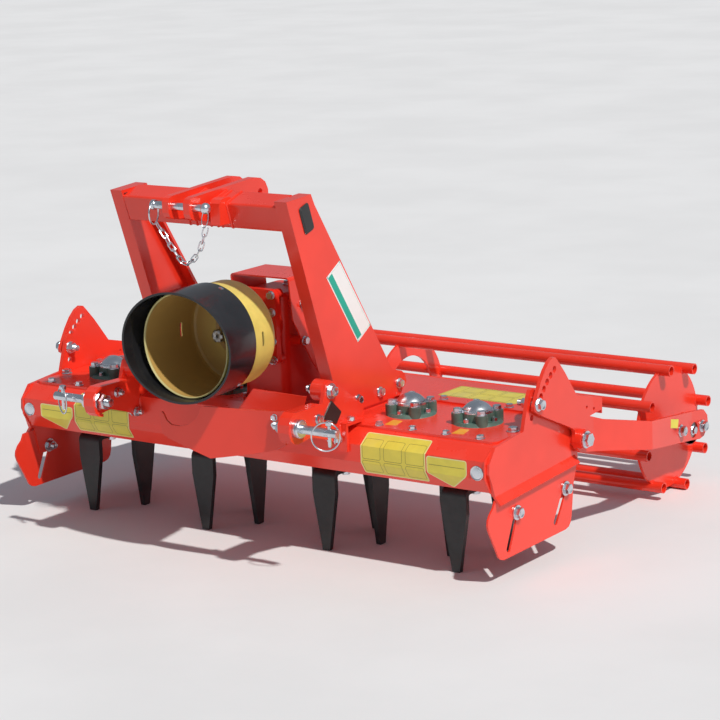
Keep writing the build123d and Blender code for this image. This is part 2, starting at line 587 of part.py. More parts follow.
# ================================================================ rotors
HUB_TOP_Z = TROUGH_LOW_Z - HUB_GAP
HUB_LOW_Z = HUB_TOP_Z - HUB_THICKNESS
KNIFE_LOW = HUB_LOW_Z - KNIFE_THICKNESS
for k in range(1, ROTOR_COUNT + 1):
    x = (k - LEAD) * ROTOR_PITCH
    phase = 90 if k % 2 else 0
    with BuildPart() as hub:
        with BuildSketch(TOP.offset(HUB_LOW_Z)):
            with Locations((x, 0)):
                Circle(HUB_RADIUS)
        extrude(amount=HUB_THICKNESS)
        chamfer(hub.edges().group_by(Axis.Z)[0], 3)
        with BuildSketch(TOP.offset(HUB_TOP_Z)):
            with Locations((x, 0)):
                Circle(SPINDLE_RADIUS)
        extrude(amount=SPINDLE_LENGTH)
    pieces[f"rotor_hub_{k}"] = hub
    with BuildPart() as knives:
        for side in (phase, phase + 180):
            out = (cos(radians(side)), sin(radians(side)), 0)
            edge_on = Plane(origin=(x, ROTOR_Y, 0), x_dir=out, z_dir=(out[1], -out[0], 0))
            face_on = Plane(origin=(x, ROTOR_Y, 0), x_dir=(-out[1], out[0], 0), z_dir=out)
            inner = TIP_RADIUS - KNIFE_THICKNESS
            bend_r, bend_z = TIP_RADIUS - KNIFE_BEND, HUB_LOW_Z - KNIFE_BEND
            small = KNIFE_BEND - KNIFE_THICKNESS
            with BuildSketch(edge_on):
                with BuildLine():
                    Polyline(
                        (bend_r, KNIFE_LOW), (KNIFE_SPLIT, KNIFE_LOW), (KNIFE_SPLIT, HUB_LOW_Z),
                        (bend_r, HUB_LOW_Z),
                    )
                    half = sqrt(0.5)
                    ThreePointArc(
                        (bend_r, HUB_LOW_Z), (bend_r + half * KNIFE_BEND, bend_z + half * KNIFE_BEND),
                        (TIP_RADIUS, bend_z),
                    )
                    Polyline((TIP_RADIUS, bend_z), (TIP_RADIUS, 0), (inner, 0), (inner, bend_z))
                    ThreePointArc(
                        (inner, bend_z), (bend_r + half * small, bend_z + half * small), (bend_r, KNIFE_LOW),
                    )
                make_face()
            extrude(amount=KNIFE_TOP_WIDTH / 2, both=True)
            with BuildSketch(face_on.offset(inner - 1)):
                with BuildLine():
                    top, tip = KNIFE_TOP_WIDTH / 2, KNIFE_TIP_WIDTH / 2
                    over = top + 1
                    Polyline((tip, -1), (over, -1), (over, KNIFE_TAPER_Z), (top, KNIFE_TAPER_Z), close=True)
                make_face()
                mirror(about=Plane.YZ)
            extrude(amount=KNIFE_THICKNESS + 2, mode=Mode.SUBTRACT)
    pieces[f"tines_{k}"] = knives

# ================================================================ roller arms
arm_side = [
    (172, 273), (196, 255), (235, 249), (335, 230), (ARM_BEND_Y, 193), (ROLLER_Y + 32, 150),
    (ROLLER_Y + 56, 154),
    (ROLLER_Y + 72, 170), (ROLLER_Y + 79, 188), (ROLLER_Y + 76, 208), (ROLLER_Y + 56, 227), (ARM_BEND_Y, 269),
    (303, 319), (239, 341), (294, 347), (295, 378), (178, 408), (123, 478), (91, 513), (80, 524), (68, 526),
    (49, 518), (29, 500), (9, 474), (-10, 443), (-23, 420), (-22, 410), (-14, 405), (24, 385), (94, 355),
    (155, 327), (164, 320), (167, 308), (165, 290),
]
bend_0, bend_1 = ARM_BEND_Y - ARM_BEND_RUN, ARM_BEND_Y + ARM_BEND_RUN
with BuildPart() as arm_right:
    with BuildSketch(TOP.offset(100)):
        with BuildLine():
            Polyline(
                (ARM_INNER_X, -60), (ARM_INNER_X, bend_0), (ARM_INNER_X + ARM_BEND_X, ARM_BEND_Y),
                (ARM_INNER_X, bend_1), (ARM_INNER_X, 900), (ARM_OUTER_X, 900), (ARM_OUTER_X, bend_1 + 1),
                (ARM_OUTER_X + ARM_BEND_X, ARM_BEND_Y), (ARM_OUTER_X, bend_0 - 1), (ARM_OUTER_X, -60),
                close=True,
            )
        make_face()
    extrude(amount=500)
    with BuildSketch(SIDE.offset(ARM_INNER_X - 20)):
        with BuildLine():
            Polyline(*arm_side, close=True)
        make_face()
        for i in range(HOLE_COUNT):
            a = radians(HOLE_FIRST + i * HOLE_STEP)
            with Locations((PIVOT_Y - HOLE_ARC * cos(a), PIVOT_Z + HOLE_ARC * sin(a))):
                Circle(LOCK_RADIUS + 0.5, mode=Mode.SUBTRACT)
        with Locations((ROLLER_Y, ROLLER_Z)):
            Circle(AXLE_RADIUS + AXLE_HOLE_GAP, mode=Mode.SUBTRACT)
        with Locations((225, 367), (259, 356)):
            Circle(4, mode=Mode.SUBTRACT)
    extrude(amount=ARM_THICKNESS + ARM_BEND_X + 40, mode=Mode.INTERSECT)
    with BuildSketch(SIDE.offset(ARM_OUTER_X)):
        with Locations((PIVOT_Y, PIVOT_Z)):
            Circle(PIVOT_BOSS_RADIUS)
    extrude(amount=PIVOT_BOSS_LENGTH)
    with BuildSketch(SIDE.offset(ARM_INNER_X)):
        with Locations((PIVOT_Y, PIVOT_Z)):
            Circle(PIVOT_PIN_RADIUS + AXLE_FIT)
    extrude(amount=ARM_THICKNESS + PIVOT_BOSS_LENGTH, mode=Mode.SUBTRACT)
pieces["arm_right"] = arm_right
with BuildPart() as arm_left:
    mirror(arm_right.part, about=MIRROR)
pieces["arm_left"] = arm_left

with BuildPart() as pivot_pin_right:
    pin_x = PLATE_OUTER_X + ARM_GAP - 2
    head_x = ARM_OUTER_X + PIVOT_BOSS_LENGTH + 1
    with BuildSketch(SIDE.offset(pin_x)):
        with Locations((PIVOT_Y, PIVOT_Z)):
            Circle(PIVOT_PIN_RADIUS)
    extrude(amount=head_x - pin_x)
    with BuildSketch(SIDE.offset(head_x)):
        with Locations((PIVOT_Y, PIVOT_Z)):
            Circle(22)
    extrude(amount=3)
    with BuildSketch(SIDE.offset(head_x + 3)):
        with Locations((PIVOT_Y, PIVOT_Z)):
            RegularPolygon(18, 6)
    extrude(amount=11)
pieces["pivot_pin_right"] = pivot_pin_right
with BuildPart() as pivot_pin_left:
    mirror(pivot_pin_right.part, about=MIRROR)
pieces["pivot_pin_left"] = pivot_pin_left

with BuildPart() as roller_bearings:
    for x in (ARM_INNER_X, -ARM_INNER_X):
        with BuildSketch(SIDE.offset(x)):
            with Locations((ROLLER_Y, ROLLER_Z)):
                Circle(44)
                Circle(AXLE_RADIUS + AXLE_FIT, mode=Mode.SUBTRACT)
        extrude(amount=-28 if x > 0 else 28)
pieces["roller_bearings"] = roller_bearings

# ================================================================ roller
with BuildPart() as roller_discs:
    for x in (-DISC_X, DISC_X):
        with BuildSketch(SIDE.offset(x - DISC_THICKNESS / 2)):
            with Locations((ROLLER_Y, ROLLER_Z)):
                Circle(DISC_RADIUS)
                with PolarLocations(TUBE_CIRCLE, TUBE_COUNT, start_angle=TUBE_PHASE):
                    Circle(TUBE_RADIUS, mode=Mode.SUBTRACT)
        extrude(amount=DISC_THICKNESS)
    with BuildSketch(SIDE.offset(RING_X - DISC_THICKNESS / 2)):
        with Locations((ROLLER_Y, ROLLER_Z)):
            Circle(DISC_RADIUS)
            Circle(RING_INNER, mode=Mode.SUBTRACT)
            with PolarLocations(TUBE_CIRCLE, TUBE_COUNT, start_angle=TUBE_PHASE):
                Circle(TUBE_RADIUS, mode=Mode.SUBTRACT)
    extrude(amount=DISC_THICKNESS)
pieces["roller_discs"] = roller_discs

with BuildPart() as roller_tubes:
    with BuildSketch(SIDE.offset(-TUBE_HALF_LENGTH)):
        with Locations((ROLLER_Y, ROLLER_Z)):
            with PolarLocations(TUBE_CIRCLE, TUBE_COUNT, start_angle=TUBE_PHASE):
                Circle(TUBE_RADIUS)
                Circle(TUBE_RADIUS - TUBE_WALL, mode=Mode.SUBTRACT)
    extrude(amount=2 * TUBE_HALF_LENGTH)
pieces["roller_tubes"] = roller_tubes

STUB_X = DISC_X + DISC_THICKNESS / 2
with BuildPart() as roller_stubs:
    for x in (STUB_X, -STUB_X):
        with BuildSketch(SIDE.offset(x)):
            with Locations((ROLLER_Y, ROLLER_Z)):
                Circle(AXLE_RADIUS)
        extrude(amount=(ARM_OUTER_X - 4 - STUB_X) * (1 if x > 0 else -1))
pieces["roller_stubs"] = roller_stubs

# ================================================================ write the pieces
os.makedirs("parts", exist_ok=True)
for name, piece in pieces.items():
    piece.part.label = name
    export_step(piece.part, f"parts/{name}.step")
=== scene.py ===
"""Finishes, small fittings and studio for a tractor-mounted power harrow with a cage roller."""

import json
import math

import bmesh
import bpy
from bpy.props import FloatProperty, FloatVectorProperty, PointerProperty
from mathutils import Matrix, Vector


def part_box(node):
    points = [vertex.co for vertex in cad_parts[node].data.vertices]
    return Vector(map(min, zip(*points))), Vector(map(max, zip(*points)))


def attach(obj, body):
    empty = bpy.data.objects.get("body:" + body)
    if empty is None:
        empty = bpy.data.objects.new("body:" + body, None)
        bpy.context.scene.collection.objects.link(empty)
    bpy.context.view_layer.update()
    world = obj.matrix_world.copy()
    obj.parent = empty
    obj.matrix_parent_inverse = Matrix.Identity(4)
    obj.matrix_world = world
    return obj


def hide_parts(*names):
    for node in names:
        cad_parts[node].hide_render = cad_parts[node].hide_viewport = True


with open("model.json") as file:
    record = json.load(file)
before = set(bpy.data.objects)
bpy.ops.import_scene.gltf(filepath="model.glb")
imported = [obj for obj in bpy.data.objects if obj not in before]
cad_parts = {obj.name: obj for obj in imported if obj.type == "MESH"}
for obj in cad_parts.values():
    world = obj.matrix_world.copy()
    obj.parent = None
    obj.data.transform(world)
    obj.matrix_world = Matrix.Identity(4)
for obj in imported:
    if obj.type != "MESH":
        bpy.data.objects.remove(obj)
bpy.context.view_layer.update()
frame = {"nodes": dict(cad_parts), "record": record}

bl_info = {
    "name": "Power harrow finish",
    "version": (1, 0, 0),
    "blender": (4, 5, 0),
    "location": "View3D > Sidebar > Harrow",
    "description": "Dresses the power harrow with its finishes, fasteners and small fittings",
    "category": "Object",
}

ROTOR_LINE_Y = sum(corner.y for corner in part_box("trough_cover")) / 2
MM = 0.001
M8, M10, M12, M16, M24 = 13, 17, 19, 24, 36     # across the flats of each size of head, in millimetres


# ---------------------------------------------------------------- places taken from the frame
def span(node):
    """A node's low and high corners in millimetres, off the rotors' line and the ground."""
    line = Vector((0, ROTOR_LINE_Y, 0))
    return [(corner - line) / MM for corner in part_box(node)]


def core(node):
    """The middle of a node's box, in the same millimetres."""
    low, high = span(node)
    return (low + high) / 2


COVER_Z = span("trough_cover")[1].z
SHELF_Z = span("rear_shelf")[1].z
BEAM_Z = COVER_Z + 14
HOUSING_Z = span("bearing_housings")[1].z
HOUSING_X = [core(f"tines_{k}").x for k in (1, 2, 3, 5, 6, 7)]
POST_FACE = span("post_right")[1].x
FOOT_INNER = 265.5                              # inner face of the posts' feet
EAR_RIM, EAR_FACE = (corner.x for corner in span("ear_right"))
EAR_BACK = EAR_FACE - 10
LOWER_PIN = core("lower_pin_right")
LOWER_PIN_TIP = span("lower_pin_right")[1].x
SHOULDER = 341.5                                # where a lower link's ball meets its pin
LINK_PIN = core("top_link_pin")
LINK_PIN_LEFT, LINK_PIN_RIGHT = (corner.x for corner in span("top_link_pin"))
HOOK_FRONT, HOOK_BACK = (corner.y for corner in span("shaft_cradle"))
SHAFT_Z = core("guard_cone").z
GUARD_MOUTH = span("guard_cone")[0].y
GEARBOX_FRONT = span("gearbox")[0].y
SHIELD_LEFT, SHIELD_RIGHT = (corner.x for corner in span("gearbox_shield"))
SIDE_INNER = span("end_plate_right")[0].x
DEFLECTOR_FACE = span("deflector_right")[1].x
LEFT_LEAD = span("deflector_right")[0].y - span("deflector_left")[0].y
ARM_INNER = span("arm_right")[0].x
ARM_FACE = ARM_INNER + 10
ARM_STEP, ARM_STEP_RUN = 24.0, 258.0            # how far each arm steps outwards, over what length
FLANGE_X = ARM_INNER - 9
PIVOT = core("pivot_pin_right")
LOCK_ARC, LOCK_ANGLE = 233.0, math.radians(33.8)        # from the pivot to the locking hole
LOCK_Y = PIVOT.y - LOCK_ARC * math.cos(LOCK_ANGLE)
LOCK_Z = PIVOT.z + LOCK_ARC * math.sin(LOCK_ANGLE)
AXLE = core("roller_stubs")
TUBE_CIRCLE, TUBE_PHASE, TUBE_COUNT = 172.0, 13.64, 8   # radius, first angle, number of tubes
INNER_RING_X = -155.0


# ---------------------------------------------------------------- sizes and colours
def colour(name, description, default):
    """A colour property in linear RGB."""
    return FloatVectorProperty(name=name, description=description, default=default,
                               subtype="COLOR", size=3, min=0.0, max=1.0)


def length(name, description, default):
    """A length property in metres."""
    return FloatProperty(name=name, description=description, default=default,
                         unit="LENGTH", subtype="DISTANCE", min=0.0)


class HarrowColours(bpy.types.PropertyGroup):
    """Colours of the harrow's finishes."""
    paint: colour("Paint", "Gloss red of the frame, hitch and roller", (0.94, 0.045, 0.020))
    paint_deep: colour("Deep paint", "Red where the coat lies thicker", (0.72, 0.022, 0.012))
    casting_grey: colour("Bearing housing", "Grey green primer of the housings", (0.075, 0.135, 0.11))
    tine: colour("Tine", "Black satin dip of tines and rotor hubs", (0.012, 0.012, 0.013))
    guard: colour("Shaft guard", "Yellow plastic of the shaft guard", (0.76, 0.62, 0.15))
    rubber: colour("Guard collar", "Black rubber of the guard's collar", (0.010, 0.010, 0.012))
    steel: colour("Steel", "Turned steel of shafts and stub axles", (0.44, 0.43, 0.42))
    zinc: colour("Zinc", "Bright zinc plate of bolts, pins and caps", (0.70, 0.74, 0.79))
    label: colour("Label", "Yellow of the blank labels", (0.78, 0.66, 0.08))
    label_rim: colour("Label rim", "Pale rim of the blank labels", (0.85, 0.78, 0.36))
    label_line: colour("Label line", "Fine lines between the labels' blank fields", (0.20, 0.17, 0.03))
    sticker: colour("Sticker", "White of the post's blank sticker", (0.90, 0.90, 0.89))
    band: colour("Sticker band", "Plain band on the post's blank sticker", (0.0, 0.42, 0.30))
    tag: colour("Tag", "Orange tags beside the bearing housings", (1.0, 0.42, 0.015))
    # Painted shade: the guard's inner wall is darkened to brown to stand in for the shade inside it.
    guard_inside_shade: colour("Guard inside", "Painted shade on the inner wall of the shaft guard", (0.50, 0.31, 0.09))
    guard_edge: colour("Guard edge", "Cut front edge of the yellow guard", (0.62, 0.55, 0.24))
    floor: colour("Floor", "Pale floor of the studio", (0.80, 0.80, 0.81))


class HarrowSizes(bpy.types.PropertyGroup):
    """Sizes of the small fittings."""
    bolt_flats: length("Bolt flats", "Across flats of the M12 heads on the cover", 0.019)
    bolt_height: length("Bolt head", "Height of the M12 heads on the cover", 0.0075)


class HarrowLight(bpy.types.PropertyGroup):
    """Lamp levels of the studio."""
    sun: FloatProperty(name="Sun", description="Strength of the sun lamp", default=3.0, min=0.0)
    sky: FloatProperty(name="Sky", description="Strength of the even sky", default=0.3, min=0.0)


# ---------------------------------------------------------------- placing and building
def at(x, y, z):
    """Metres in the frame, from millimetres off the rotors' line and the ground."""
    return Vector((x * MM, y * MM + ROTOR_LINE_Y, z * MM))


def seat(x, y, z, along=(0, 0, 1), turn=0.0):
    """Placement in millimetres whose own z axis points along a direction."""
    facing = Vector(along).to_track_quat("Z", "Y").to_matrix().to_4x4()
    spin = Matrix.Rotation(math.radians(turn), 4, "Z")
    return Matrix.Translation(at(x, y, z)) @ facing @ spin @ Matrix.Scale(MM, 4)


def side_seat(x, y, z, turn=0.0):
    """Placement on a side plate: own x to the rear, own y up, own z outwards from the middle."""
    out = 1.0 if x > 0 else -1.0
    facing = Matrix(((0, 0, out, 0), (1, 0, 0, 0), (0, 1, 0, 0), (0, 0, 0, 1)))
    spin = Matrix.Rotation(math.radians(turn), 4, "Z")
    return Matrix.Translation(at(x, y, z)) @ facing @ spin @ Matrix.Scale(MM, 4)


def circle(radius, steps=32, start=0.0, sweep=360.0):
    """Points of an arc or circle."""
    count = steps if sweep == 360.0 else steps + 1
    angles = (math.radians(start + sweep * i / steps) for i in range(count))
    return [(radius * math.cos(a), radius * math.sin(a)) for a in angles]


def rounded(corners, radius, steps=5):
    """An outline with its corners rounded off."""
    outline = []
    points = [Vector(corner) for corner in corners]
    for before, here, after in zip(points[-1:] + points[:-1], points, points[1:] + points[:1]):
        back, on = before - here, after - here
        reach = min(radius, back.length * 0.45, on.length * 0.45)
        first, last = here + back.normalized() * reach, here + on.normalized() * reach
        for i in range(steps + 1):
            t = i / steps
            outline.append(tuple(first * (1 - t) ** 2 + here * 2 * t * (1 - t) + last * t ** 2))
    return outline


def rectangle(width, height, radius, x=0.0, y=0.0):
    """A rounded rectangle about a middle point."""
    w, h = width / 2, height / 2
    return rounded([(x - w, y - h), (x + w, y - h), (x + w, y + h), (x - w, y + h)], radius)


def inset(outline, depth):
    """An outline moved inwards by a small depth."""
    points = [Vector(point) for point in outline]
    area = sum(a.x * b.y - b.x * a.y for a, b in zip(points, points[1:] + points[:1]))
    sign = 1.0 if area > 0 else -1.0
    moved = []
    for before, here, after in zip(points[-1:] + points[:-1], points, points[1:] + points[:1]):
        one, two = (here - before).normalized(), (after - here).normalized()
        normal = Vector((-(one.y + two.y), one.x + two.x)) * sign
        normal.normalize()
        half = max(0.35, math.sqrt(max(0.0, (1 + one.dot(two)) / 2)))
        moved.append(tuple(here + normal * (depth / half)))
    return moved


class Shape:
    """One mesh made of turned, drawn and swept forms."""

    def __init__(self):
        self.mesh = bmesh.new()

    def skin(self, rows, around=True, loop=False):
        """Joins rows of points; a row of one point closes to a tip."""
        made = [[self.mesh.verts.new(point) for point in row] for row in rows]
        if loop:
            made.append(made[0])
        for low, high in zip(made, made[1:]):
            count = max(len(low), len(high))
            for i in range(count if around else count - 1):
                j = (i + 1) % count
                self.face((low[i % len(low)], low[j % len(low)],
                           high[j % len(high)], high[i % len(high)]))
        return made

    def face(self, corners):
        """Adds a face once, without its repeated corners."""
        corners = list(dict.fromkeys(corners))
        if len(corners) > 2 and not self.mesh.faces.get(corners):
            self.mesh.faces.new(corners)

    def turned(self, place, profile, steps=28):
        """A turned form from (radius, height) pairs along the place's own axis."""
        self.skin([[place @ Vector((0, 0, height))] if radius == 0 else
                   [place @ Vector((x, y, height)) for x, y in circle(radius, steps)]
                   for radius, height in profile])

    def plate(self, place, outline, low, high, chamfer=0.4):
        """A flat plate with its rims broken."""
        inner = inset(outline, chamfer)
        rows = [(inner, low), (outline, low + chamfer), (outline, high - chamfer), (inner, high)]
        made = self.skin([[place @ Vector((x, y, level)) for x, y in shape] for shape, level in rows])
        self.face(made[0][::-1])
        self.face(made[-1])

    def holed_plate(self, place, outline, hole, low, high):
        """A flat frame between two outlines with the same number of points."""
        rows = [(hole, low), (outline, low), (outline, high), (hole, high)]
        self.skin([[place @ Vector((x, y, level)) for x, y in shape] for shape, level in rows], loop=True)

    def hexagon(self, place, flats, low, high, hole=0.0):
        """A bolt head or nut with its corners turned off, and a bore for a nut."""
        angles = [math.radians(10 * i) for i in range(36)]
        reach = [flats / 2 / math.cos((a + math.pi / 6) % (math.pi / 3) - math.pi / 6) for a in angles]
        crown = flats * 0.475

        def row(radii, heights):
            return [place @ Vector((r * math.cos(a), r * math.sin(a), h))
                    for r, a, h in zip(radii, angles, heights)]

        cone = [high - max(0.0, r - crown) * 0.58 for r in reach]
        rows = [row([crown * 0.9] * 36, [low] * 36), row(reach, [low] * 36), row(reach, cone),
                row([crown] * 36, [high] * 36)]
        if hole:
            rows += [row([hole + 1] * 36, [high] * 36), row([hole] * 36, [high - 1] * 36)]
        else:
            dish = high - 0.35
            rows += [row([crown * 0.8] * 36, [high] * 36), row([crown * 0.76] * 36, [dish] * 36),
                     [place @ Vector((0, 0, dish))]]
        self.skin(rows)

    def washer(self, place, radius, thickness, low=0.0):
        """A flat washer with its rims broken."""
        top = low + thickness
        self.turned(place, [(radius * 0.3, low), (radius - 0.4, low), (radius, low + 0.4),
                            (radius, top - 0.5), (radius - 0.5, top), (radius * 0.3, top)])

    def bolt(self, place, flats, height, washer, thickness=2.5):
        """A hex head on its washer."""
        self.washer(place, washer, thickness)
        self.hexagon(place, flats, thickness, thickness + height)

    def nut(self, place, flats, height, washer, shank, stub, thickness=2.5):
        """A nut on its washer with the bolt's thread standing out."""
        self.washer(place, washer, thickness)
        top = thickness + height
        self.hexagon(place, flats, thickness, top, hole=shank)
        profile, level = [(shank, top - 2)], top - 1
        while level < top + stub:
            profile += [(shank, level), (shank - 0.7, level + 0.7),
                        (shank - 0.7, level + 0.9), (shank, level + 1.6)]
            level += 1.75
        self.turned(place, profile + [(shank - 1.2, level + 0.4), (0, level + 0.4)], 20)

    def tube(self, points, radius, steps=10, loop=False):
        """A round bar along points given in metres; the radius is a number or one for each point."""
        count = len(points)
        radii = radius if isinstance(radius, list) else [radius] * count
        last = count - 1
        tangents = []
        for i in range(count):
            ahead = (i + 1) % count if loop else min(i + 1, last)
            behind = (i - 1) % count if loop else max(i - 1, 0)
            tangents.append((points[ahead] - points[behind]).normalized())
        side = tangents[0].orthogonal().normalized()
        rows = []
        for point, tangent, r in zip(points, tangents, radii):
            side = (side - tangent * side.dot(tangent)).normalized()
            up = tangent.cross(side)
            rows.append([point + (side * x + up * y) * MM for x, y in circle(r, steps)])
        if not loop:
            rows = [[points[0]]] + rows + [[points[-1]]]
        self.skin(rows, loop=loop)

    def bead(self, points, radius):
        """A weld bead with its ripples along a run of corner points in metres."""
        path, radii = [], []
        for start, end in zip(points, points[1:]):
            steps = max(2, int((end - start).length / (1.3 * MM)))
            path += [start.lerp(end, i / steps) for i in range(steps)]
        path.append(points[-1])
        for i in range(len(path)):
            ends = min(1.0, 0.45 + 0.2 * min(i, len(path) - 1 - i))
            radii.append(radius * ends * (1.0 + 0.10 * math.sin(i * 1.9) + 0.05 * math.sin(i * 0.37)))
        self.tube(path, radii, 8)

    def piece(self, name, body, material, slot):
        """Turns the mesh into a piece that rides on a body."""
        data = bpy.data.meshes.new(name)
        bmesh.ops.recalc_face_normals(self.mesh, faces=self.mesh.faces)
        self.mesh.to_mesh(data)
        self.mesh.free()
        data.shade_smooth()
        data.set_sharp_from_angle(angle=math.radians(38))
        data.materials.append(bpy.data.materials[material])
        item = bpy.data.objects.new(name, data)
        bpy.context.scene.collection.objects.link(item)
        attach(item, body)
        return item


# ---------------------------------------------------------------- node helpers
class Nodes:
    """Adds nodes to one tree and links them by socket name."""

    def __init__(self, tree):
        self.tree = tree

    def add(self, kind, inputs=None, **settings):
        """A new node with its settings and input values."""
        node = self.tree.nodes.new(kind)
        for key, value in settings.items():
            setattr(node, key, value)
        for key, value in (inputs or {}).items():
            self.feed(node.inputs[key], value)
        return node

    def feed(self, socket, value):
        """Links a socket, or sets a plain value."""
        if isinstance(value, bpy.types.NodeSocket):
            self.tree.links.new(value, socket)
        else:
            socket.default_value = value

    def noise(self, vector, scale, detail=3.0, roughness=0.55):
        """A noise value between 0 and 1."""
        values = {"Vector": vector, "Scale": scale, "Detail": detail, "Roughness": roughness}
        return self.add("ShaderNodeTexNoise", values).outputs["Fac"]

    def ramp(self, factor, low, high):
        """A smooth step from 0 at low to 1 at high."""
        values = {"Value": factor, "From Min": low, "From Max": high}
        return self.add("ShaderNodeMapRange", values, interpolation_type="SMOOTHSTEP").outputs["Result"]

    def math(self, operation, first, second=0.0):
        """One sum of two values."""
        node = self.add("ShaderNodeMath", operation=operation)
        self.feed(node.inputs[0], first)
        self.feed(node.inputs[1], second)
        return node.outputs[0]

    def scaled(self, value, factor, offset):
        """A value times a factor, plus an offset."""
        return self.math("ADD", self.math("MULTIPLY", value, factor), offset)

    def effect(self, name, **values):
        """Places a shared effect with its own values; gives its outputs."""
        node = self.add("ShaderNodeGroup", node_tree=bpy.data.node_groups[name])
        for key, value in values.items():
            self.feed(node.inputs[key], value)
        return node.outputs

    def mix(self, factor, first, second):
        """A colour between two others."""
        node = self.add("ShaderNodeMix", data_type="RGBA")
        self.feed(node.inputs[0], factor)
        self.feed(node.inputs[6], first)
        self.feed(node.inputs[7], second)
        return node.outputs[2]


def group(name, inputs, outputs):
    """A shader node group with named sockets: (its Nodes, its input node, its output node)."""
    tree = bpy.data.node_groups.new(name, "ShaderNodeTree")
    for label, kind, default in inputs:
        socket = tree.interface.new_socket(label, in_out="INPUT", socket_type=kind)
        if default is not None:
            socket.default_value = default
    for label, kind in outputs:
        tree.interface.new_socket(label, in_out="OUTPUT", socket_type=kind)
    nodes = Nodes(tree)
    return nodes, nodes.add("NodeGroupInput"), nodes.add("NodeGroupOutput")


def rgba(value, factor=1.0):
    """A colour property as four numbers, dimmed or lifted by a factor."""
    return (*(min(1.0, channel * factor) for channel in value), 1.0)


# ---------------------------------------------------------------- shared effects
def edge_wear_group():
    """Mask of convex edges, broken up by noise."""
    nodes, given, result = group(
        "Edge wear",
        [("Radius", "NodeSocketFloat", 0.003), ("Amount", "NodeSocketFloat", 0.5)],
        [("Mask", "NodeSocketFloat")])
    bevel = nodes.add("ShaderNodeBevel", {"Radius": given.outputs["Radius"]}, samples=4)
    geometry = nodes.add("ShaderNodeNewGeometry")
    dot = nodes.add("ShaderNodeVectorMath", operation="DOT_PRODUCT")
    nodes.feed(dot.inputs[0], bevel.outputs[0])
    nodes.feed(dot.inputs[1], geometry.outputs["Normal"])
    edge = nodes.ramp(dot.outputs["Value"], 0.995, 0.86)
    spots = nodes.ramp(nodes.noise(geometry.outputs["Position"], 60.0, 4.0), 0.45, 0.62)
    mask = nodes.math("MULTIPLY", nodes.math("MULTIPLY", edge, spots), given.outputs["Amount"])
    nodes.feed(result.inputs["Mask"], mask)
    return nodes.tree


def paint_surface_group():
    """Orange peel height and slow colour drift of a sprayed coat."""
    nodes, given, result = group(
        "Sprayed coat",
        [("Peel scale", "NodeSocketFloat", 420.0), ("Drift scale", "NodeSocketFloat", 3.5)],
        [("Height", "NodeSocketFloat"), ("Drift", "NodeSocketFloat"), ("Dust", "NodeSocketFloat")])
    geometry = nodes.add("ShaderNodeNewGeometry")
    position = geometry.outputs["Position"]
    nodes.feed(result.inputs["Height"], nodes.noise(position, given.outputs["Peel scale"], 1.0))
    drift = nodes.noise(position, given.outputs["Drift scale"])
    nodes.feed(result.inputs["Drift"], nodes.ramp(drift, 0.35, 0.65))
    upward = nodes.add("ShaderNodeSeparateXYZ", {"Vector": geometry.outputs["Normal"]}).outputs["Z"]
    film = nodes.ramp(nodes.noise(position, 9.0, 5.0), 0.45, 0.75)
    nodes.feed(result.inputs["Dust"], nodes.math("MULTIPLY", nodes.ramp(upward, 0.3, 1.0), film))
    return nodes.tree


def grain_group():
    """Fine cast or moulded grain as a height."""
    nodes, given, result = group(
        "Grain",
        [("Scale", "NodeSocketFloat", 300.0)],
        [("Height", "NodeSocketFloat"), ("Mottle", "NodeSocketFloat")])
    position = nodes.add("ShaderNodeNewGeometry").outputs["Position"]
    nodes.feed(result.inputs["Height"], nodes.noise(position, given.outputs["Scale"], 4.0, 0.6))
    nodes.feed(result.inputs["Mottle"], nodes.ramp(nodes.noise(position, 25.0, 4.0), 0.3, 0.7))
    return nodes.tree


# ---------------------------------------------------------------- materials
def new_material(name, **shader_values):
    """(material, its Nodes, its Principled BSDF) with plain values set on the shader."""
    material = bpy.data.materials.new(name)
    material.use_nodes = True
    tree = material.node_tree
    shader = next(node for node in tree.nodes if node.type == "BSDF_PRINCIPLED")
    for key, value in shader_values.items():
        shader.inputs[key.replace("_", " ")].default_value = value
    return material, Nodes(tree), shader


def bump(nodes, shader, height, strength, distance):
    """Feeds the shader's normal from a height."""
    values = {"Height": height, "Strength": strength, "Distance": distance}
    nodes.feed(shader.inputs["Normal"], nodes.add("ShaderNodeBump", values).outputs["Normal"])


def painted(name, base, deep, worn, roughness=0.26, wear=0.35, coat=0.3, cast=False):
    """Sprayed gloss paint with orange peel or cast grain, thin dust and chipped edges."""
    material, nodes, shader = new_material(name, Coat_Weight=coat, Coat_Roughness=0.18, IOR=1.45)
    spray = nodes.effect("Sprayed coat")
    chipped = nodes.effect("Edge wear", Amount=wear)["Mask"]
    tone = nodes.mix(spray["Drift"], deep, base)
    dusty = nodes.mix(nodes.math("MULTIPLY", spray["Dust"], 0.05), tone, (0.60, 0.48, 0.42, 1.0))
    nodes.feed(shader.inputs["Base Color"], nodes.mix(chipped, dusty, worn))
    rough = nodes.scaled(spray["Dust"], 0.18, roughness)
    nodes.feed(shader.inputs["Roughness"], nodes.math("ADD", rough, nodes.math("MULTIPLY", chipped, 0.2)))
    if cast:
        bump(nodes, shader, nodes.effect("Grain")["Height"], 0.25, 0.0012)
    else:
        bump(nodes, shader, spray["Height"], 0.06, 0.0006)
    return material


def red_paint(colours):
    """Gloss red of the welded parts."""
    return painted("Red gloss paint", rgba(colours.paint), rgba(colours.paint, 0.88),
                   rgba(colours.paint_deep, 0.55))


def red_casting(colours):
    """The same red, duller, over cast iron."""
    return painted("Red cast housing", rgba(colours.paint, 0.9), rgba(colours.paint_deep),
                   rgba(colours.paint_deep, 0.5), roughness=0.38, wear=0.5, coat=0.2, cast=True)


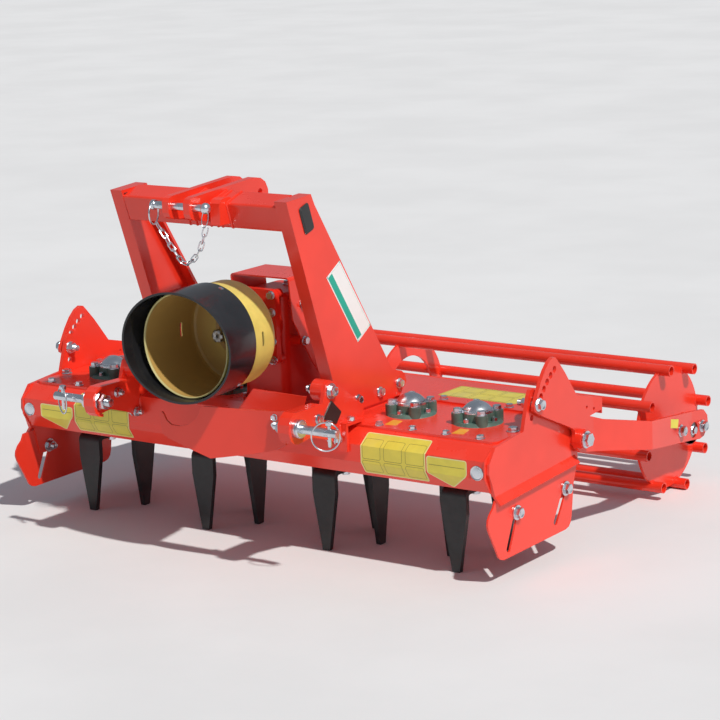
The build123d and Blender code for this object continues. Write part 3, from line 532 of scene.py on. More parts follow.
def cast_primer(colours):
    """Dull grey green primer over cast iron."""
    material, nodes, shader = new_material("Grey green primer", Metallic=0.0, Specular_IOR_Level=0.5)
    grain, base = nodes.effect("Grain"), colours.casting_grey
    tone = nodes.mix(grain["Mottle"], rgba(base, 0.8), rgba(base, 1.35))
    worn = nodes.mix(nodes.effect("Edge wear")["Mask"], tone, rgba(base, 2.6))
    nodes.feed(shader.inputs["Base Color"], worn)
    nodes.feed(shader.inputs["Roughness"], nodes.scaled(grain["Mottle"], 0.15, 0.34))
    bump(nodes, shader, grain["Height"], 0.3, 0.001)
    return material


def zinc_plate(colours):
    """Bright zinc plate, faintly mottled."""
    material, nodes, shader = new_material("Bright zinc", Metallic=1.0)
    grain = nodes.effect("Grain", Scale=700.0)
    tone = nodes.mix(grain["Mottle"], rgba(colours.zinc, 0.86), rgba(colours.zinc, 1.08))
    nodes.feed(shader.inputs["Base Color"], tone)
    nodes.feed(shader.inputs["Roughness"], nodes.scaled(grain["Mottle"], 0.14, 0.20))
    bump(nodes, shader, grain["Height"], 0.08, 0.0003)
    return material


def turned_steel(colours):
    """Bare turned steel."""
    material, nodes, shader = new_material("Turned steel", Metallic=1.0)
    grain = nodes.effect("Grain")
    tone = nodes.mix(grain["Mottle"], rgba(colours.steel, 0.68), rgba(colours.steel))
    nodes.feed(shader.inputs["Base Color"], tone)
    nodes.feed(shader.inputs["Roughness"], nodes.scaled(grain["Mottle"], 0.2, 0.28))
    bump(nodes, shader, grain["Height"], 0.06, 0.0003)
    return material


def black_dip(colours):
    """Black dipped steel, scuffed grey at its edges."""
    material, nodes, shader = new_material("Black dipped steel", IOR=1.48)
    grain, scuffed = nodes.effect("Grain"), (0.09, 0.085, 0.08, 1.0)
    tone = nodes.mix(grain["Mottle"], rgba(colours.tine), rgba(colours.tine, 2.2))
    nodes.feed(shader.inputs["Base Color"], nodes.mix(nodes.effect("Edge wear")["Mask"], tone, scuffed))
    nodes.feed(shader.inputs["Roughness"], nodes.scaled(grain["Mottle"], 0.14, 0.34))
    bump(nodes, shader, grain["Height"], 0.16, 0.0006)
    return material


def faces_axis(nodes, middle):
    """Mask of faces that look inwards at an axis along y through a point in metres."""
    geometry = nodes.add("ShaderNodeNewGeometry")
    away = nodes.add("ShaderNodeVectorMath", operation="SUBTRACT")
    nodes.feed(away.inputs[0], geometry.outputs["Position"])
    nodes.feed(away.inputs[1], middle)
    radial = nodes.add("ShaderNodeVectorMath", operation="MULTIPLY")
    nodes.feed(radial.inputs[0], away.outputs["Vector"])
    nodes.feed(radial.inputs[1], (1.0, 0.0, 1.0))
    outwards = nodes.add("ShaderNodeVectorMath", operation="DOT_PRODUCT")
    nodes.feed(outwards.inputs[0], radial.outputs["Vector"])
    nodes.feed(outwards.inputs[1], geometry.outputs["Normal"])
    return nodes.ramp(outwards.outputs["Value"], 0.0, -0.02)


def guard_plastic(colours):
    """Yellow moulded plastic, with painted shade darkening the guard's inner wall."""
    material, nodes, shader = new_material("Yellow guard plastic", IOR=1.46)
    grain = nodes.effect("Grain", Scale=900.0)
    tone = nodes.mix(grain["Mottle"], rgba(colours.guard, 0.93), rgba(colours.guard, 1.05))
    # Painted shade: faces looking inwards at the shaft's axis take the darker inner colour.
    inside = faces_axis(nodes, (0.0, 0.0, SHAFT_Z * MM))
    tone = nodes.mix(inside, tone, rgba(colours.guard_inside_shade))
    worn = nodes.mix(nodes.effect("Edge wear")["Mask"], tone, rgba(colours.guard, 1.2))
    nodes.feed(shader.inputs["Base Color"], worn)
    nodes.feed(shader.inputs["Roughness"], nodes.scaled(grain["Mottle"], 0.1, 0.34))
    bump(nodes, shader, grain["Height"], 0.08, 0.0004)
    return material


def collar_rubber(colours):
    """Smooth black rubber with a little dust on top."""
    material, nodes, shader = new_material("Black rubber", IOR=1.5)
    grain = nodes.effect("Grain", Scale=140.0)
    tone = nodes.mix(grain["Mottle"], rgba(colours.rubber), rgba(colours.rubber, 1.5))
    dust = nodes.math("MULTIPLY", nodes.effect("Sprayed coat")["Dust"], 0.12)
    nodes.feed(shader.inputs["Base Color"], nodes.mix(dust, tone, (0.10, 0.095, 0.09, 1.0)))
    nodes.feed(shader.inputs["Roughness"], nodes.scaled(grain["Mottle"], 0.08, 0.17))
    bump(nodes, shader, grain["Height"], 0.05, 0.0006)
    return material


def film(name, base, dark=0.9, roughness=0.36):
    """Printed vinyl film: one colour, faintly uneven, slightly rippled."""
    material, nodes, shader = new_material(name, IOR=1.46, Coat_Weight=0.25, Coat_Roughness=0.15)
    grain = nodes.effect("Grain", Scale=90.0)
    tone = nodes.mix(grain["Mottle"], rgba(base, dark), rgba(base))
    dust = nodes.math("MULTIPLY", nodes.effect("Sprayed coat")["Dust"], 0.2)
    nodes.feed(shader.inputs["Base Color"], nodes.mix(dust, tone, (0.55, 0.50, 0.42, 1.0)))
    nodes.feed(shader.inputs["Roughness"], nodes.scaled(grain["Mottle"], 0.1, roughness))
    bump(nodes, shader, grain["Height"], 0.06, 0.0006)
    return material


def films(colours):
    """The films of the stickers and caps, each its own plain colour."""
    film("Yellow film", colours.label)
    film("Pale film", colours.label_rim)
    film("Olive line", colours.label_line)
    film("White film", colours.sticker, dark=0.97)
    film("Green film", colours.band)
    film("Orange film", colours.tag)
    film("Yellow cut edge", colours.guard_edge, roughness=0.45)
    film("Black plug plastic", colours.tine, roughness=0.30)


MATERIAL_OF_SLOT = {
    "red_paint": red_paint,
    "red_casting": red_casting,
    "grey_casting": cast_primer,
    "zinc": zinc_plate,
    "bright_steel": turned_steel,
    "black_paint": black_dip,
    "yellow_plastic": guard_plastic,
    "black_rubber": collar_rubber,
}


class HARROW_OT_finishes(bpy.types.Operator):
    """Build the materials and give every carried-over node its finish"""
    bl_idname = "harrow.finishes"
    bl_label = "Finishes"

    def execute(self, context):
        colours = context.scene.harrow_colours
        edge_wear_group()
        paint_surface_group()
        grain_group()
        films(colours)
        made = {slot: build(colours) for slot, build in MATERIAL_OF_SLOT.items()}
        slots = {part["node"]: part["material_slot"] for part in frame["record"]["subparts"]}
        for name, node in frame["nodes"].items():
            if name not in slots:
                raise RuntimeError(f"{name} has no material slot")
            material = made[slots[name]]
            node.data.materials.clear()
            node.data.materials.append(material)
            for face in node.data.polygons:
                face.material_index = 0
        return {"FINISHED"}


# ---------------------------------------------------------------- bolts of the trough
class HARROW_OT_cover_bolts(bpy.types.Operator):
    """Bolt the cover, the shelf and the gearbox's foot down"""
    bl_idname = "harrow.cover_bolts"
    bl_label = "Cover bolts"

    def execute(self, context):
        sizes = context.scene.harrow_sizes
        flats, height = sizes.bolt_flats / MM, sizes.bolt_height / MM
        shape = Shape()
        for side in (1, -1):
            for x in (400, 500, 600, 700):
                shape.bolt(seat(side * x, -141, COVER_Z, turn=x * 0.37), flats - 2, height, 11.5)
            for x in (100, 300, 400, 500, 600, 700):
                shape.bolt(seat(side * x, 148, SHELF_Z, turn=x * 0.61), flats - 2, height, 12)
            shape.bolt(seat(side * 732, -45, COVER_Z, turn=13), flats + 3, height + 2, 15, 3)
            shape.bolt(seat(side * 732, 95, COVER_Z, turn=41), flats + 3, height + 2, 15, 3)
            shape.bolt(seat(side * 341, -178, BEAM_Z, turn=20), flats - 2, height, 9.5)
            for x in (22, 62):
                shape.bolt(seat(side * x, -93, COVER_Z + 16, turn=x), M8, 8, 7.5, 1.5)
                shape.bolt(seat(side * x, 93, COVER_Z + 16, turn=x), M8, 8, 7.5, 1.5)
        shape.piece("cover_bolts", "frame", "Bright zinc", "zinc")
        return {"FINISHED"}


class HARROW_OT_housing_bolts(bpy.types.Operator):
    """Bolt the bearing housings, rim their domes and lay the tags beside them"""
    bl_idname = "harrow.housing_bolts"
    bl_label = "Housing bolts"

    def execute(self, context):
        bolts, rings, tags = Shape(), Shape(), Shape()
        roll = [(36.4, 4.2), (37.6, 6.2), (39.2, 6.6), (40.4, 5.4), (40.6, 3.6)]
        tag = rounded([(-15, -24), (13, -27), (9, 25), (-23, 22)], 2)
        for x in HOUSING_X:
            for quarter, (px, py) in enumerate(circle(50, 4, 45)):
                turn = 45 + 90 * quarter + x * 0.31
                bolts.bolt(seat(x + px, py, HOUSING_Z, turn=turn), M12, 9.5, 13.5, 2.5)
            for quarter, (px, py) in enumerate(circle(49.8, 4)):
                turn = 90 * quarter + x * 0.17
                bolts.bolt(seat(x + px, py, COVER_Z + 8, turn=turn), M8, 8, 7.2, 1.2)
            rings.turned(seat(x, 0, HOUSING_Z), roll, 48)
            if x > 300:
                tags.plate(seat(x + 14, -103, COVER_Z, turn=4), tag, 0.0, 0.5, 0.15)
        bolts.piece("housing_bolts", "frame", "Bright zinc", "zinc")
        rings.piece("dome_rings", "frame", "Bright zinc", "zinc")
        tags.piece("housing_tags", "frame", "Orange film", "yellow_plastic")
        return {"FINISHED"}


# ---------------------------------------------------------------- hitch
class HARROW_OT_hitch_bolts(bpy.types.Operator):
    """Bolt the posts, the shield, the ears and the hooked plate"""
    bl_idname = "harrow.hitch_bolts"
    bl_label = "Hitch bolts"

    def execute(self, context):
        shape = Shape()
        for side in (1, -1):
            out, inwards = (side, 0, 0), (-side, 0, 0)
            for y, z in ((-64, 395), (32, 395), (118, 400)):
                shape.bolt(seat(side * POST_FACE, y, z, out, y), M12, 9, 14, 3)
                shape.nut(seat(side * FOOT_INNER, y, z, inwards, y + 9), M12, 10, 14, 6, 7)
            shape.bolt(seat(side * EAR_FACE, -244, 460, out, 8), M16, 12, 20, 3.5)
            shape.nut(seat(side * EAR_RIM, -244, 460, inwards, 25), M16, 13, 20, 8, 8, 3.5)
            for y, z, turn, nut_turn in ((-300, 401, 33, 14), (-228, 334, 5, 47)):
                shape.bolt(seat(side * EAR_FACE, y, z, out, turn), M12, 9, 13.5)
                shape.nut(seat(side * EAR_BACK, y, z, inwards, nut_turn), M12, 11, 13.5, 6, 7)
            spacer = (side * (EAR_BACK - 15.6), LOWER_PIN.y, LOWER_PIN.z)
            shape.turned(seat(*spacer, out), [(12, 0), (21, 0), (21, 15), (12, 15)], 32)
            shape.nut(seat(*spacer, inwards, 11), M24, 22, 23, 10.5, 14, 4)
        for x, out in ((SHIELD_RIGHT, 1), (SHIELD_LEFT, -1)):
            for y, z in ((-55, 628), (-53, 530)):
                shape.bolt(seat(x, y, z, (out, 0, 0), z), M12, 9, 12)
        for z in (417, 399):
            shape.bolt(seat(263, HOOK_FRONT, z, (0, -1, 0), z), M8, 7, 8.5, 1.5)
            shape.nut(seat(263, HOOK_BACK, z, (0, 1, 0), z), M8, 7, 8.5, 4, 4, 1.5)
        shape.piece("hitch_bolts", "frame", "Bright zinc", "zinc")
        # Painted shade: a thin black plate over the rear of each ear's outer face stands in for the dark
        # shade where the ear meets the beam, not for a real black part.
        plates = Shape()
        outline = rounded([(-246, 437), (-206, 400), (-229, 373), (-283, 398)], 3)
        for side in (1, -1):
            plates.plate(side_seat(side * EAR_FACE, 0, 0), outline, 0, 3, 0.6)
        plates.piece("ear_shade_plates", "frame", "Black plug plastic", "black_rubber")
        return {"FINISHED"}


def chain_link(shape, middle, along, across, length, width, wire):
    """One welded link, lying in the plane of along and across."""
    half = length / 2 - width / 2
    path = []
    for centre, start in ((half, -90), (-half, 90)):
        for x, y in circle(width / 2, 8, start, 180.0):
            path.append(middle + (along * (centre + x) + across * y) * MM)
    shape.tube(path, wire, 8, loop=True)


class HARROW_OT_top_link_pin(bpy.types.Operator):
    """Hang the top link pin's knob, split ring and chain"""
    bl_idname = "harrow.top_link_pin"
    bl_label = "Top link pin fittings"

    def execute(self, context):
        shape = Shape()
        knob = seat(LINK_PIN_RIGHT, LINK_PIN.y, LINK_PIN.z, (1, 0, 0))
        shape.turned(knob, [(0, -4), (9, -4), (12.5, -1), (14, 4),
                            (13.4, 10), (10, 15), (5, 17.6), (0, 18)], 36)
        head = seat(LINK_PIN_LEFT, LINK_PIN.y, LINK_PIN.z, (-1, 0, 0))
        shape.turned(head, [(9.6, -12), (12, -12), (12.6, -11), (12.6, -2), (9.5, 1.5), (0, 2.5)], 36)
        shape.piece("link_pin_ends", "frame", "Bright zinc", "zinc")
        ring = Shape()
        tilt = Matrix.Rotation(math.radians(16), 4, "Z")
        loop = [at(-85, -388, 900) + tilt @ Vector((0, y * MM, z * MM)) for y, z in circle(28, 48)]
        ring.tube(loop, 2.3, 10, loop=True)
        eye = [at(81 + 0.45 * x, -392 + 0.25 * z, 896 + z) for x, z in circle(22, 32)]
        ring.tube(eye, 1.3, 8, loop=True)
        ring.piece("split_ring", "frame", "Bright zinc", "zinc")
        chain = Shape()
        route = [(-77, 875), (-64, 858), (-51, 842), (-39, 826), (-27, 811), (-14, 795), (0, 782),
                 (15, 779), (31, 788), (45, 801), (57, 817), (65, 835), (72, 853), (80, 872)]
        points = [at(x, -388 + (i % 3 - 1) * 0.8, z) for i, (x, z) in enumerate(route)]
        for i, (start, end) in enumerate(zip(points, points[1:])):
            along = (end - start).normalized()
            flat = along.cross(Vector((0, 1, 0))).normalized()
            turn = Matrix.Rotation(math.radians(28 + 90 * (i % 2) + 9 * math.sin(i * 2.1)), 3, along)
            reach = (end - start).length / MM + 6.4
            chain_link(chain, (start + end) / 2, along, turn @ flat, reach, 11.5, 1.7)
        chain.piece("pin_chain", "frame", "Bright zinc", "zinc")
        return {"FINISHED"}


class HARROW_OT_linch_pins(bpy.types.Operator):
    """Put a ringed linch pin through each lower pin"""
    bl_idname = "harrow.linch_pins"
    bl_label = "Linch pins"

    def execute(self, context):
        shape = Shape()
        bolt = [(0, 0), (3.2, 0.6), (4.6, 4), (4.8, 8), (4.8, 55), (0, 55)]
        collar = [(11.2, 0), (21, 0), (22.4, 1.4), (22.4, 5.6), (21, 7), (14, 7.6), (11.2, 7.6)]
        for side in (1, -1):
            x, y, z = side * (LOWER_PIN_TIP - 25), LOWER_PIN.y, LOWER_PIN.z
            shape.turned(seat(x, y, z - 36), bolt, 24)
            shape.plate(seat(x, y, z + 17), rectangle(16, 12, 3), 0, 13, 2)
            middle = at(x - side * 5, y - 9, z - 8)
            across = Vector((0.86, 0.5 * side, 0.0))
            loop = [middle + (across * px + Vector((0, 0, 1)) * pz) * MM for px, pz in circle(35, 56)]
            shape.tube(loop, 1.9, 10, loop=True)
            shape.turned(seat(side * SHOULDER, y, z, (side, 0, 0)), collar, 40)
            tip = seat(side * LOWER_PIN_TIP, y, z, (side, 0, 0))
            shape.turned(tip, [(11.1, -3), (11.2, -2), (9, 0.4), (0, 0.6)], 32)
        shape.piece("linch_pins", "frame", "Bright zinc", "zinc")
        return {"FINISHED"}


class HARROW_OT_plugs(bpy.types.Operator):
    """Set the plugs on the trough's front and over the cross tube's ends"""
    bl_idname = "harrow.plugs"
    bl_label = "Plugs"

    def execute(self, context):
        metal, plastic = Shape(), Shape()
        front = span("gear_trough")[0].y
        dish = [(18.5, 0), (18.5, 1.4), (17.2, 2.6), (15.6, 2.2), (14.6, 1.2), (9, 2.2), (0, 2.8)]
        for side in (1, -1):
            metal.turned(seat(side * 729, front, 291, (0, -1, 0)), dish, 48)
            cap = side_seat(side * POST_FACE, -248, 887, 18.5)
            plastic.plate(cap, rectangle(40, 72, 9), 0, 2.6, 1.1)
            plastic.plate(cap, rectangle(30, 62, 6), 2.2, 3.4, 0.6)
        metal.piece("trough_plugs", "frame", "Bright zinc", "zinc")
        plastic.piece("tube_plugs", "frame", "Black plug plastic", "black_rubber")
        return {"FINISHED"}


# ---------------------------------------------------------------- blank labels
# The trough's folded front as (back, up) points, from the cover down
FOLD = [(-166.3, 347.5), (-205, 320), (-205, 276), (-181, 238)]


def on_fold(x, down, lift):
    """A point over the trough's folded front: x across, down along its faces, lifted off them."""
    corners = [Vector(corner) for corner in FOLD]
    for start, end in zip(corners, corners[1:]):
        run = (end - start).length
        if down <= run or end == corners[-1]:
            break
        down -= run
    way = (end - start).normalized()
    normal = Vector((way.y, -way.x))
    if normal.x > 0:
        normal = -normal
    point = start + way * down + normal * lift
    return at(x, point.x, point.y)


def wrap(shape, polygons, lift):
    """Lays flat polygons, given as (x, distance down), over the folded front with a thin rim."""
    flat = bmesh.new()
    for polygon in polygons:
        flat.faces.new([flat.verts.new((x, down, 0)) for x, down in polygon])
    bends, total = [], 0.0
    for start, end in zip(FOLD, FOLD[1:]):
        total += (Vector(end) - Vector(start)).length
        bends += [total - 1.2, total, total + 1.2]
    for level in bends:
        everything = flat.verts[:] + flat.edges[:] + flat.faces[:]
        bmesh.ops.bisect_plane(flat, geom=everything, plane_co=(0, level, 0), plane_no=(0, 1, 0))
    top = {vert: shape.mesh.verts.new(on_fold(vert.co.x, vert.co.y, lift)) for vert in flat.verts}
    for face in flat.faces:
        shape.face([top[vert] for vert in face.verts])
    for edge in flat.edges:
        if len(edge.link_faces) == 1:
            a, b = edge.verts
            low = [shape.mesh.verts.new(on_fold(vert.co.x, vert.co.y, -0.1)) for vert in (b, a)]
            shape.face([top[a], top[b], *low])
    flat.free()


def stroke(outline, width):
    """The quads of a line drawn just inside an outline."""
    inner = inset(outline, width)
    count = len(outline)
    return [(outline[i], outline[(i + 1) % count], inner[(i + 1) % count], inner[i]) for i in range(count)]


class HARROW_OT_front_labels(bpy.types.Operator):
    """Lay the blank yellow labels over the trough's folded front"""
    bl_idname = "harrow.front_labels"
    bl_label = "Front labels"

    def execute(self, context):
        yellow, pale, lines = Shape(), Shape(), Shape()
        for low, high in ((386, 580), (-565, -371)):
            outline = rounded([(low, 3), (high, 3), (high, 126), (low, 126)], 7)
            wrap(yellow, [outline], 0.35)
            wrap(pale, stroke(outline, 2.6), 0.45)
            third = (high - low) / 3
            for i in range(3):
                left, right = low + i * third + 5, low + (i + 1) * third - 5
                for upper, lower in ((22, 80), (84, 119)):
                    field = rounded([(left, upper), (right, upper), (right, lower), (left, lower)], 6)
                    wrap(lines, stroke(field, 0.9), 0.5)
        for side in (1, -1):
            low, high = (583, 700) if side > 0 else (-688, -571)
            middle = (low + high) / 2
            corners = [(low, 50), (high, 50), (high, 88), (middle + 6, 134), (low, 92)]
            if side < 0:
                corners = [(low, 55), (high, 55), (high, 82), (middle + 14, 132), (low, 92)]
            outline = rounded(corners, 8)
            wrap(yellow, [outline], 0.35)
            wrap(pale, stroke(outline, 2.6), 0.45)
            bar = [(low + 7, 70), (high - 7, 70), (high - 7, 71.2), (low + 7, 71.2)]
            wrap(lines, [bar], 0.5)
        yellow.piece("front_labels", "frame", "Yellow film", "yellow_plastic")
        pale.piece("front_label_rims", "frame", "Pale film", "yellow_plastic")
        lines.piece("front_label_lines", "frame", "Olive line", "yellow_plastic")
        return {"FINISHED"}


class HARROW_OT_flat_labels(bpy.types.Operator):
    """Lay the blank labels on the shelf, the arm and the posts"""
    bl_idname = "harrow.flat_labels"
    bl_label = "Flat labels"

    def execute(self, context):
        yellow, lines = Shape(), Shape()
        shelf = seat(475, 240, SHELF_Z)
        outline = rectangle(236, 112, 5)
        yellow.plate(shelf, outline, 0, 0.4, 0.1)
        lines.holed_plate(shelf, inset(outline, 2.5), inset(outline, 3.6), 0.3, 0.55)
        for x in (-59, 0, 59):
            for y in (-27, 27):
                field = rectangle(53, 47, 4, x, y)
                lines.holed_plate(shelf, field, inset(field, 0.9), 0.3, 0.55)
        yellow.piece("shelf_label", "frame", "Yellow film", "yellow_plastic")
        lines.piece("shelf_label_lines", "frame", "Olive line", "yellow_plastic")
        arm = Shape()
        slope = Matrix.Rotation(math.atan2(-ARM_STEP, ARM_STEP_RUN), 4, "Y")
        arm.plate(side_seat(794.2, 643, 233, -12) @ slope, rectangle(54, 24, 2), 0, 0.5, 0.15)
        arm.piece("arm_label", "roller_arms", "Yellow film", "yellow_plastic")
        white, green = Shape(), Shape()
        for side in (1, -1):
            face = side_seat(side * POST_FACE, 0, 0)
            outline = rounded([(-119, 762), (-176, 728), (-55, 542), (2, 576)], 2)
            white.plate(face, outline, 0, 0.4, 0.12)
            rim = inset(outline, 4)
            green.holed_plate(face, rim, inset(rim, 1.6), 0.3, 0.55)
            band = [(-170, 725), (-153, 735), (-39, 559), (-56, 549)]
            green.plate(face, rounded(band, 1), 0.3, 0.55, 0.1)
        white.piece("post_stickers", "frame", "White film", "yellow_plastic")
        green.piece("post_sticker_bands", "frame", "Green film", "yellow_plastic")
        return {"FINISHED"}


# ---------------------------------------------------------------- drive
class HARROW_OT_splined_shaft(bpy.types.Operator):
    """Cut the six splines, the locking groove and the centre hole into the input shaft"""
    bl_idname = "harrow.splined_shaft"
    bl_label = "Splined shaft"

    def execute(self, context):
        low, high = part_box("input_shaft")
        length = (high.y - low.y) / MM
        middle_x, middle_z = (low.x + high.x) / 2, (low.z + high.z) / 2
        place = Matrix.Translation((middle_x, low.y, middle_z)) @ Matrix.Rotation(-math.pi / 2, 4, "X")
        place = place @ Matrix.Scale(MM, 4)
        steps = 72

        def ring(height, outer, inner):
            row = []
            for i in range(steps):
                phase = (i * 360 / steps) % 60
                edge = min(phase, 60 - phase)
                r = outer if edge <= 15 else inner
                a = math.radians(i * 360 / steps + (2.0 if edge == 15 and phase < 30 else 0.0))
                row.append(place @ Vector((r * math.cos(a), r * math.sin(a), height)))
            return row

        shape = Shape()
        rows = [[place @ Vector((0, 0, 7))], ring(7, 3.2, 3.2), ring(1.2, 3.4, 3.4), ring(0, 5.2, 5.2),
                ring(0, 14.2, 13.6), ring(1.6, 17.0, 14.4), ring(21, 17.4, 14.6), ring(21.8, 14.4, 14.2),
                ring(28.6, 14.4, 14.2), ring(29.4, 17.4, 14.6), ring(68, 17.4, 14.6), ring(73, 17.4, 17.2),
                ring(74, 17.6, 17.6), ring(74.6, 19.9, 19.9), ring(length, 19.9, 19.9),
                [place @ Vector((0, 0, length))]]
        shape.skin(rows)
        piece = shape.piece("splined_shaft", "input_shaft", "Turned steel", "bright_steel")
        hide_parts("input_shaft")
        return {"FINISHED"}


class HARROW_OT_guard_trim(bpy.types.Operator):
    """Trim the guard's cut edge, clamp its sleeve and rivet its collar"""
    bl_idname = "harrow.guard_trim"
    bl_label = "Guard trim"

    def execute(self, context):
        edge = Shape()
        mouth = seat(0, GUARD_MOUTH, SHAFT_Z, (0, -1, 0))
        edge.turned(mouth, [(131.0, -4), (130.6, 0.4), (132.2, 2.4), (134.2, 1.6), (134.7, -2)], 96)
        edge.piece("guard_edge", "frame", "Yellow cut edge", "yellow_plastic")
        clamps = Shape()
        sleeve = seat(0, -150, SHAFT_Z, (0, -1, 0))
        clamps.turned(sleeve, [(62.2, -7), (63.2, -6.4), (63.2, 6.4), (62.2, 7)], 72)
        for angle in (20, 140, 260):
            sine, cosine = math.sin(math.radians(angle)), math.cos(math.radians(angle))
            rivet = seat(143.3 * sine, -305, SHAFT_Z + 140.6 * cosine, (sine, 0.12, cosine))
            clamps.turned(rivet, [(7, -1.5), (7, 1.0), (5, 2.6), (0, 3.2)], 20)
        clamps.piece("guard_clamps", "frame", "Bright zinc", "zinc")
        return {"FINISHED"}


class HARROW_OT_gearbox_fittings(bpy.types.Operator):
    """Bolt the gearbox's front flange and fit its plugs"""
    bl_idname = "harrow.gearbox_fittings"
    bl_label = "Gearbox fittings"

    def execute(self, context):
        shape = Shape()
        for x in (-65, 65):
            for z in (SHAFT_Z - 85, SHAFT_Z - 36, SHAFT_Z + 40, SHAFT_Z + 85):
                shape.bolt(seat(x, GEARBOX_FRONT, z, (0, -1, 0), z * 0.7), M10, 9, 11.5)
        shape.bolt(seat(0, 30, 654), M12, 9, 14)
        shape.turned(seat(30, 30, 652), [(6, 0), (6, 12), (8, 13), (8, 19), (5, 22), (0, 22)], 24)
        shape.bolt(seat(0, 85, 520, (0, 1, 0)), M12, 8, 14)
        shape.piece("gearbox_bolts", "frame", "Bright zinc", "zinc")
        cover = Shape()
        back = seat(0, 84, SHAFT_Z, (0, 1, 0))
        cover.turned(back, [(58, 0), (58, 6), (56, 8), (44, 8), (40, 14), (36, 16), (0, 16)], 56)
        for x, z in circle(50, 6, 30):
            cover.hexagon(seat(x, 92, SHAFT_Z + z, (0, 1, 0), x), M8, 0, 6)
        cover.piece("gearbox_rear_cap", "frame", "Red cast housing", "red_casting")
        return {"FINISHED"}


# ---------------------------------------------------------------- end plates, deflectors and arms
class HARROW_OT_deflector_bolts(bpy.types.Operator):
    """Bolt the soil deflectors through their slots"""
    bl_idname = "harrow.deflector_bolts"
    bl_label = "Deflector bolts"

    def execute(self, context):
        shape = Shape()
        for side, lead in ((1, 0), (-1, LEFT_LEAD)):
            for y, z in ((-85, 168), (144, 173)):
                y, z = y - lead, z - lead * 0.0547
                shape.bolt(seat(side * DEFLECTOR_FACE, y, z, (side, 0, 0), y), M16, 12, 19, 4)
                shape.nut(seat(side * SIDE_INNER, y, z, (-side, 0, 0), z), M16, 12, 19, 8, 9, 3)
        shape.piece("deflector_bolts", "frame", "Bright zinc", "zinc")
        return {"FINISHED"}


class HARROW_OT_arm_fittings(bpy.types.Operator):
    """Fit the lock bolts to the side plates, and the bearing flanges to the roller arms"""
    bl_idname = "harrow.arm_fittings"
    bl_label = "Arm fittings"

    def execute(self, context):
        locks, bolts, flanges = Shape(), Shape(), Shape()
        shank = [(0, 0), (7.4, 0), (7.4, 31), (0, 31)]
        flange = rounded([(-92, 36), (-50, 44), (0, 52), (50, 30), (70, 14), (70, -24), (34, -38),
                          (0, -44), (-50, -22), (-100, -4), (-110, 18)], 16)
        seal = [(22, -2), (38, -2), (41, 0), (41, 1), (30, 3), (22, 3)]
        for side in (1, -1):
            out, inwards = (side, 0, 0), (-side, 0, 0)
            locks.bolt(seat(side * ARM_FACE, LOCK_Y, LOCK_Z, out, 11), M16, 12, 17, 3)
            locks.nut(seat(side * SIDE_INNER, LOCK_Y, LOCK_Z, inwards, 40), M16, 13, 17, 8, 12, 3)
            locks.turned(seat(side * (SIDE_INNER - 1), LOCK_Y, LOCK_Z, out), shank, 24)
            for y, z, x, lean in ((698, 201, 788, ARM_STEP / ARM_STEP_RUN), (831, 184, ARM_FACE, 0.0)):
                bolts.bolt(seat(side * x, y, z, (side, lean, 0), y), M16, 13, 17, 3)
                bolts.nut(seat(side * FLANGE_X, y, z, inwards, y), M16, 12, 17, 8, 6, 3)
            flanges.plate(side_seat(side * FLANGE_X, AXLE.y, AXLE.z), flange, 0, 9, 1.5)
            flanges.turned(seat(side * 742.6, AXLE.y, AXLE.z, inwards), seal, 48)
        locks.piece("lock_bolts", "frame", "Bright zinc", "zinc")
        bolts.piece("arm_bolts", "roller_arms", "Bright zinc", "zinc")
        flanges.piece("bearing_flanges", "roller_arms", "Red cast housing", "red_casting")
        ends = Shape()
        stub_end = span("roller_stubs")[1].x
        for side in (1, -1):
            ends.bolt(seat(side * stub_end, AXLE.y, AXLE.z, (side, 0, 0), 17), M12, 8, 14, 2)
        ends.piece("axle_end_bolts", "roller", "Bright zinc", "zinc")
        return {"FINISHED"}


# ---------------------------------------------------------------- rotors and roller
class HARROW_OT_rotor_bolts(bpy.types.Operator):
    """Bolt each rotor's tines to its hub"""
    bl_idname = "harrow.rotor_bolts"
    bl_label = "Rotor bolts"

    def execute(self, context):
        for k in range(1, 8):
            phase = 90 if k % 2 else 0
            shape = Shape()
            for side in (0, 180):
                a = math.radians(phase + side)
                for shift in (-20, 20):
                    x = core(f"tines_{k}").x + 45 * math.cos(a) - shift * math.sin(a)
                    y = 45 * math.sin(a) + shift * math.cos(a)
                    shape.bolt(seat(x, y, 200, (0, 0, -1), 31 * k + shift), M12, 10, 12.5)
            shape.piece(f"rotor_bolts_{k}", f"rotor_{k}", "Bright zinc", "zinc")
        return {"FINISHED"}


class HARROW_OT_roller_welds(bpy.types.Operator):
    """Weld the roller's tubes and stubs to its discs"""
    bl_idname = "harrow.roller_welds"
    bl_label = "Roller welds"

    def execute(self, context):
        disc_x = span("roller_discs")[1].x - 4
        faces = [side * (disc_x + out) for side in (1, -1) for out in (4.2, -4.2)]
        faces += [INNER_RING_X - 4.2, INNER_RING_X + 4.2]
        shape = Shape()
        for x in faces:
            for px, pz in circle(TUBE_CIRCLE, TUBE_COUNT, TUBE_PHASE):
                outwards = math.degrees(math.atan2(pz, px))
                arc = circle(15.6, 13, outwards + 102, 156.0)
                shape.bead([at(x, AXLE.y + px + ax, AXLE.z + pz + az) for ax, az in arc], 2.6)
        for side in (1, -1):
            x = side * (disc_x + 4.3)
            ring = circle(20.6, 30) + [(20.6, 0.0)]
            shape.bead([at(x, AXLE.y + px, AXLE.z + pz) for px, pz in ring], 3.2)
        shape.piece("roller_welds", "roller", "Red gloss paint", "red_paint")
        return {"FINISHED"}


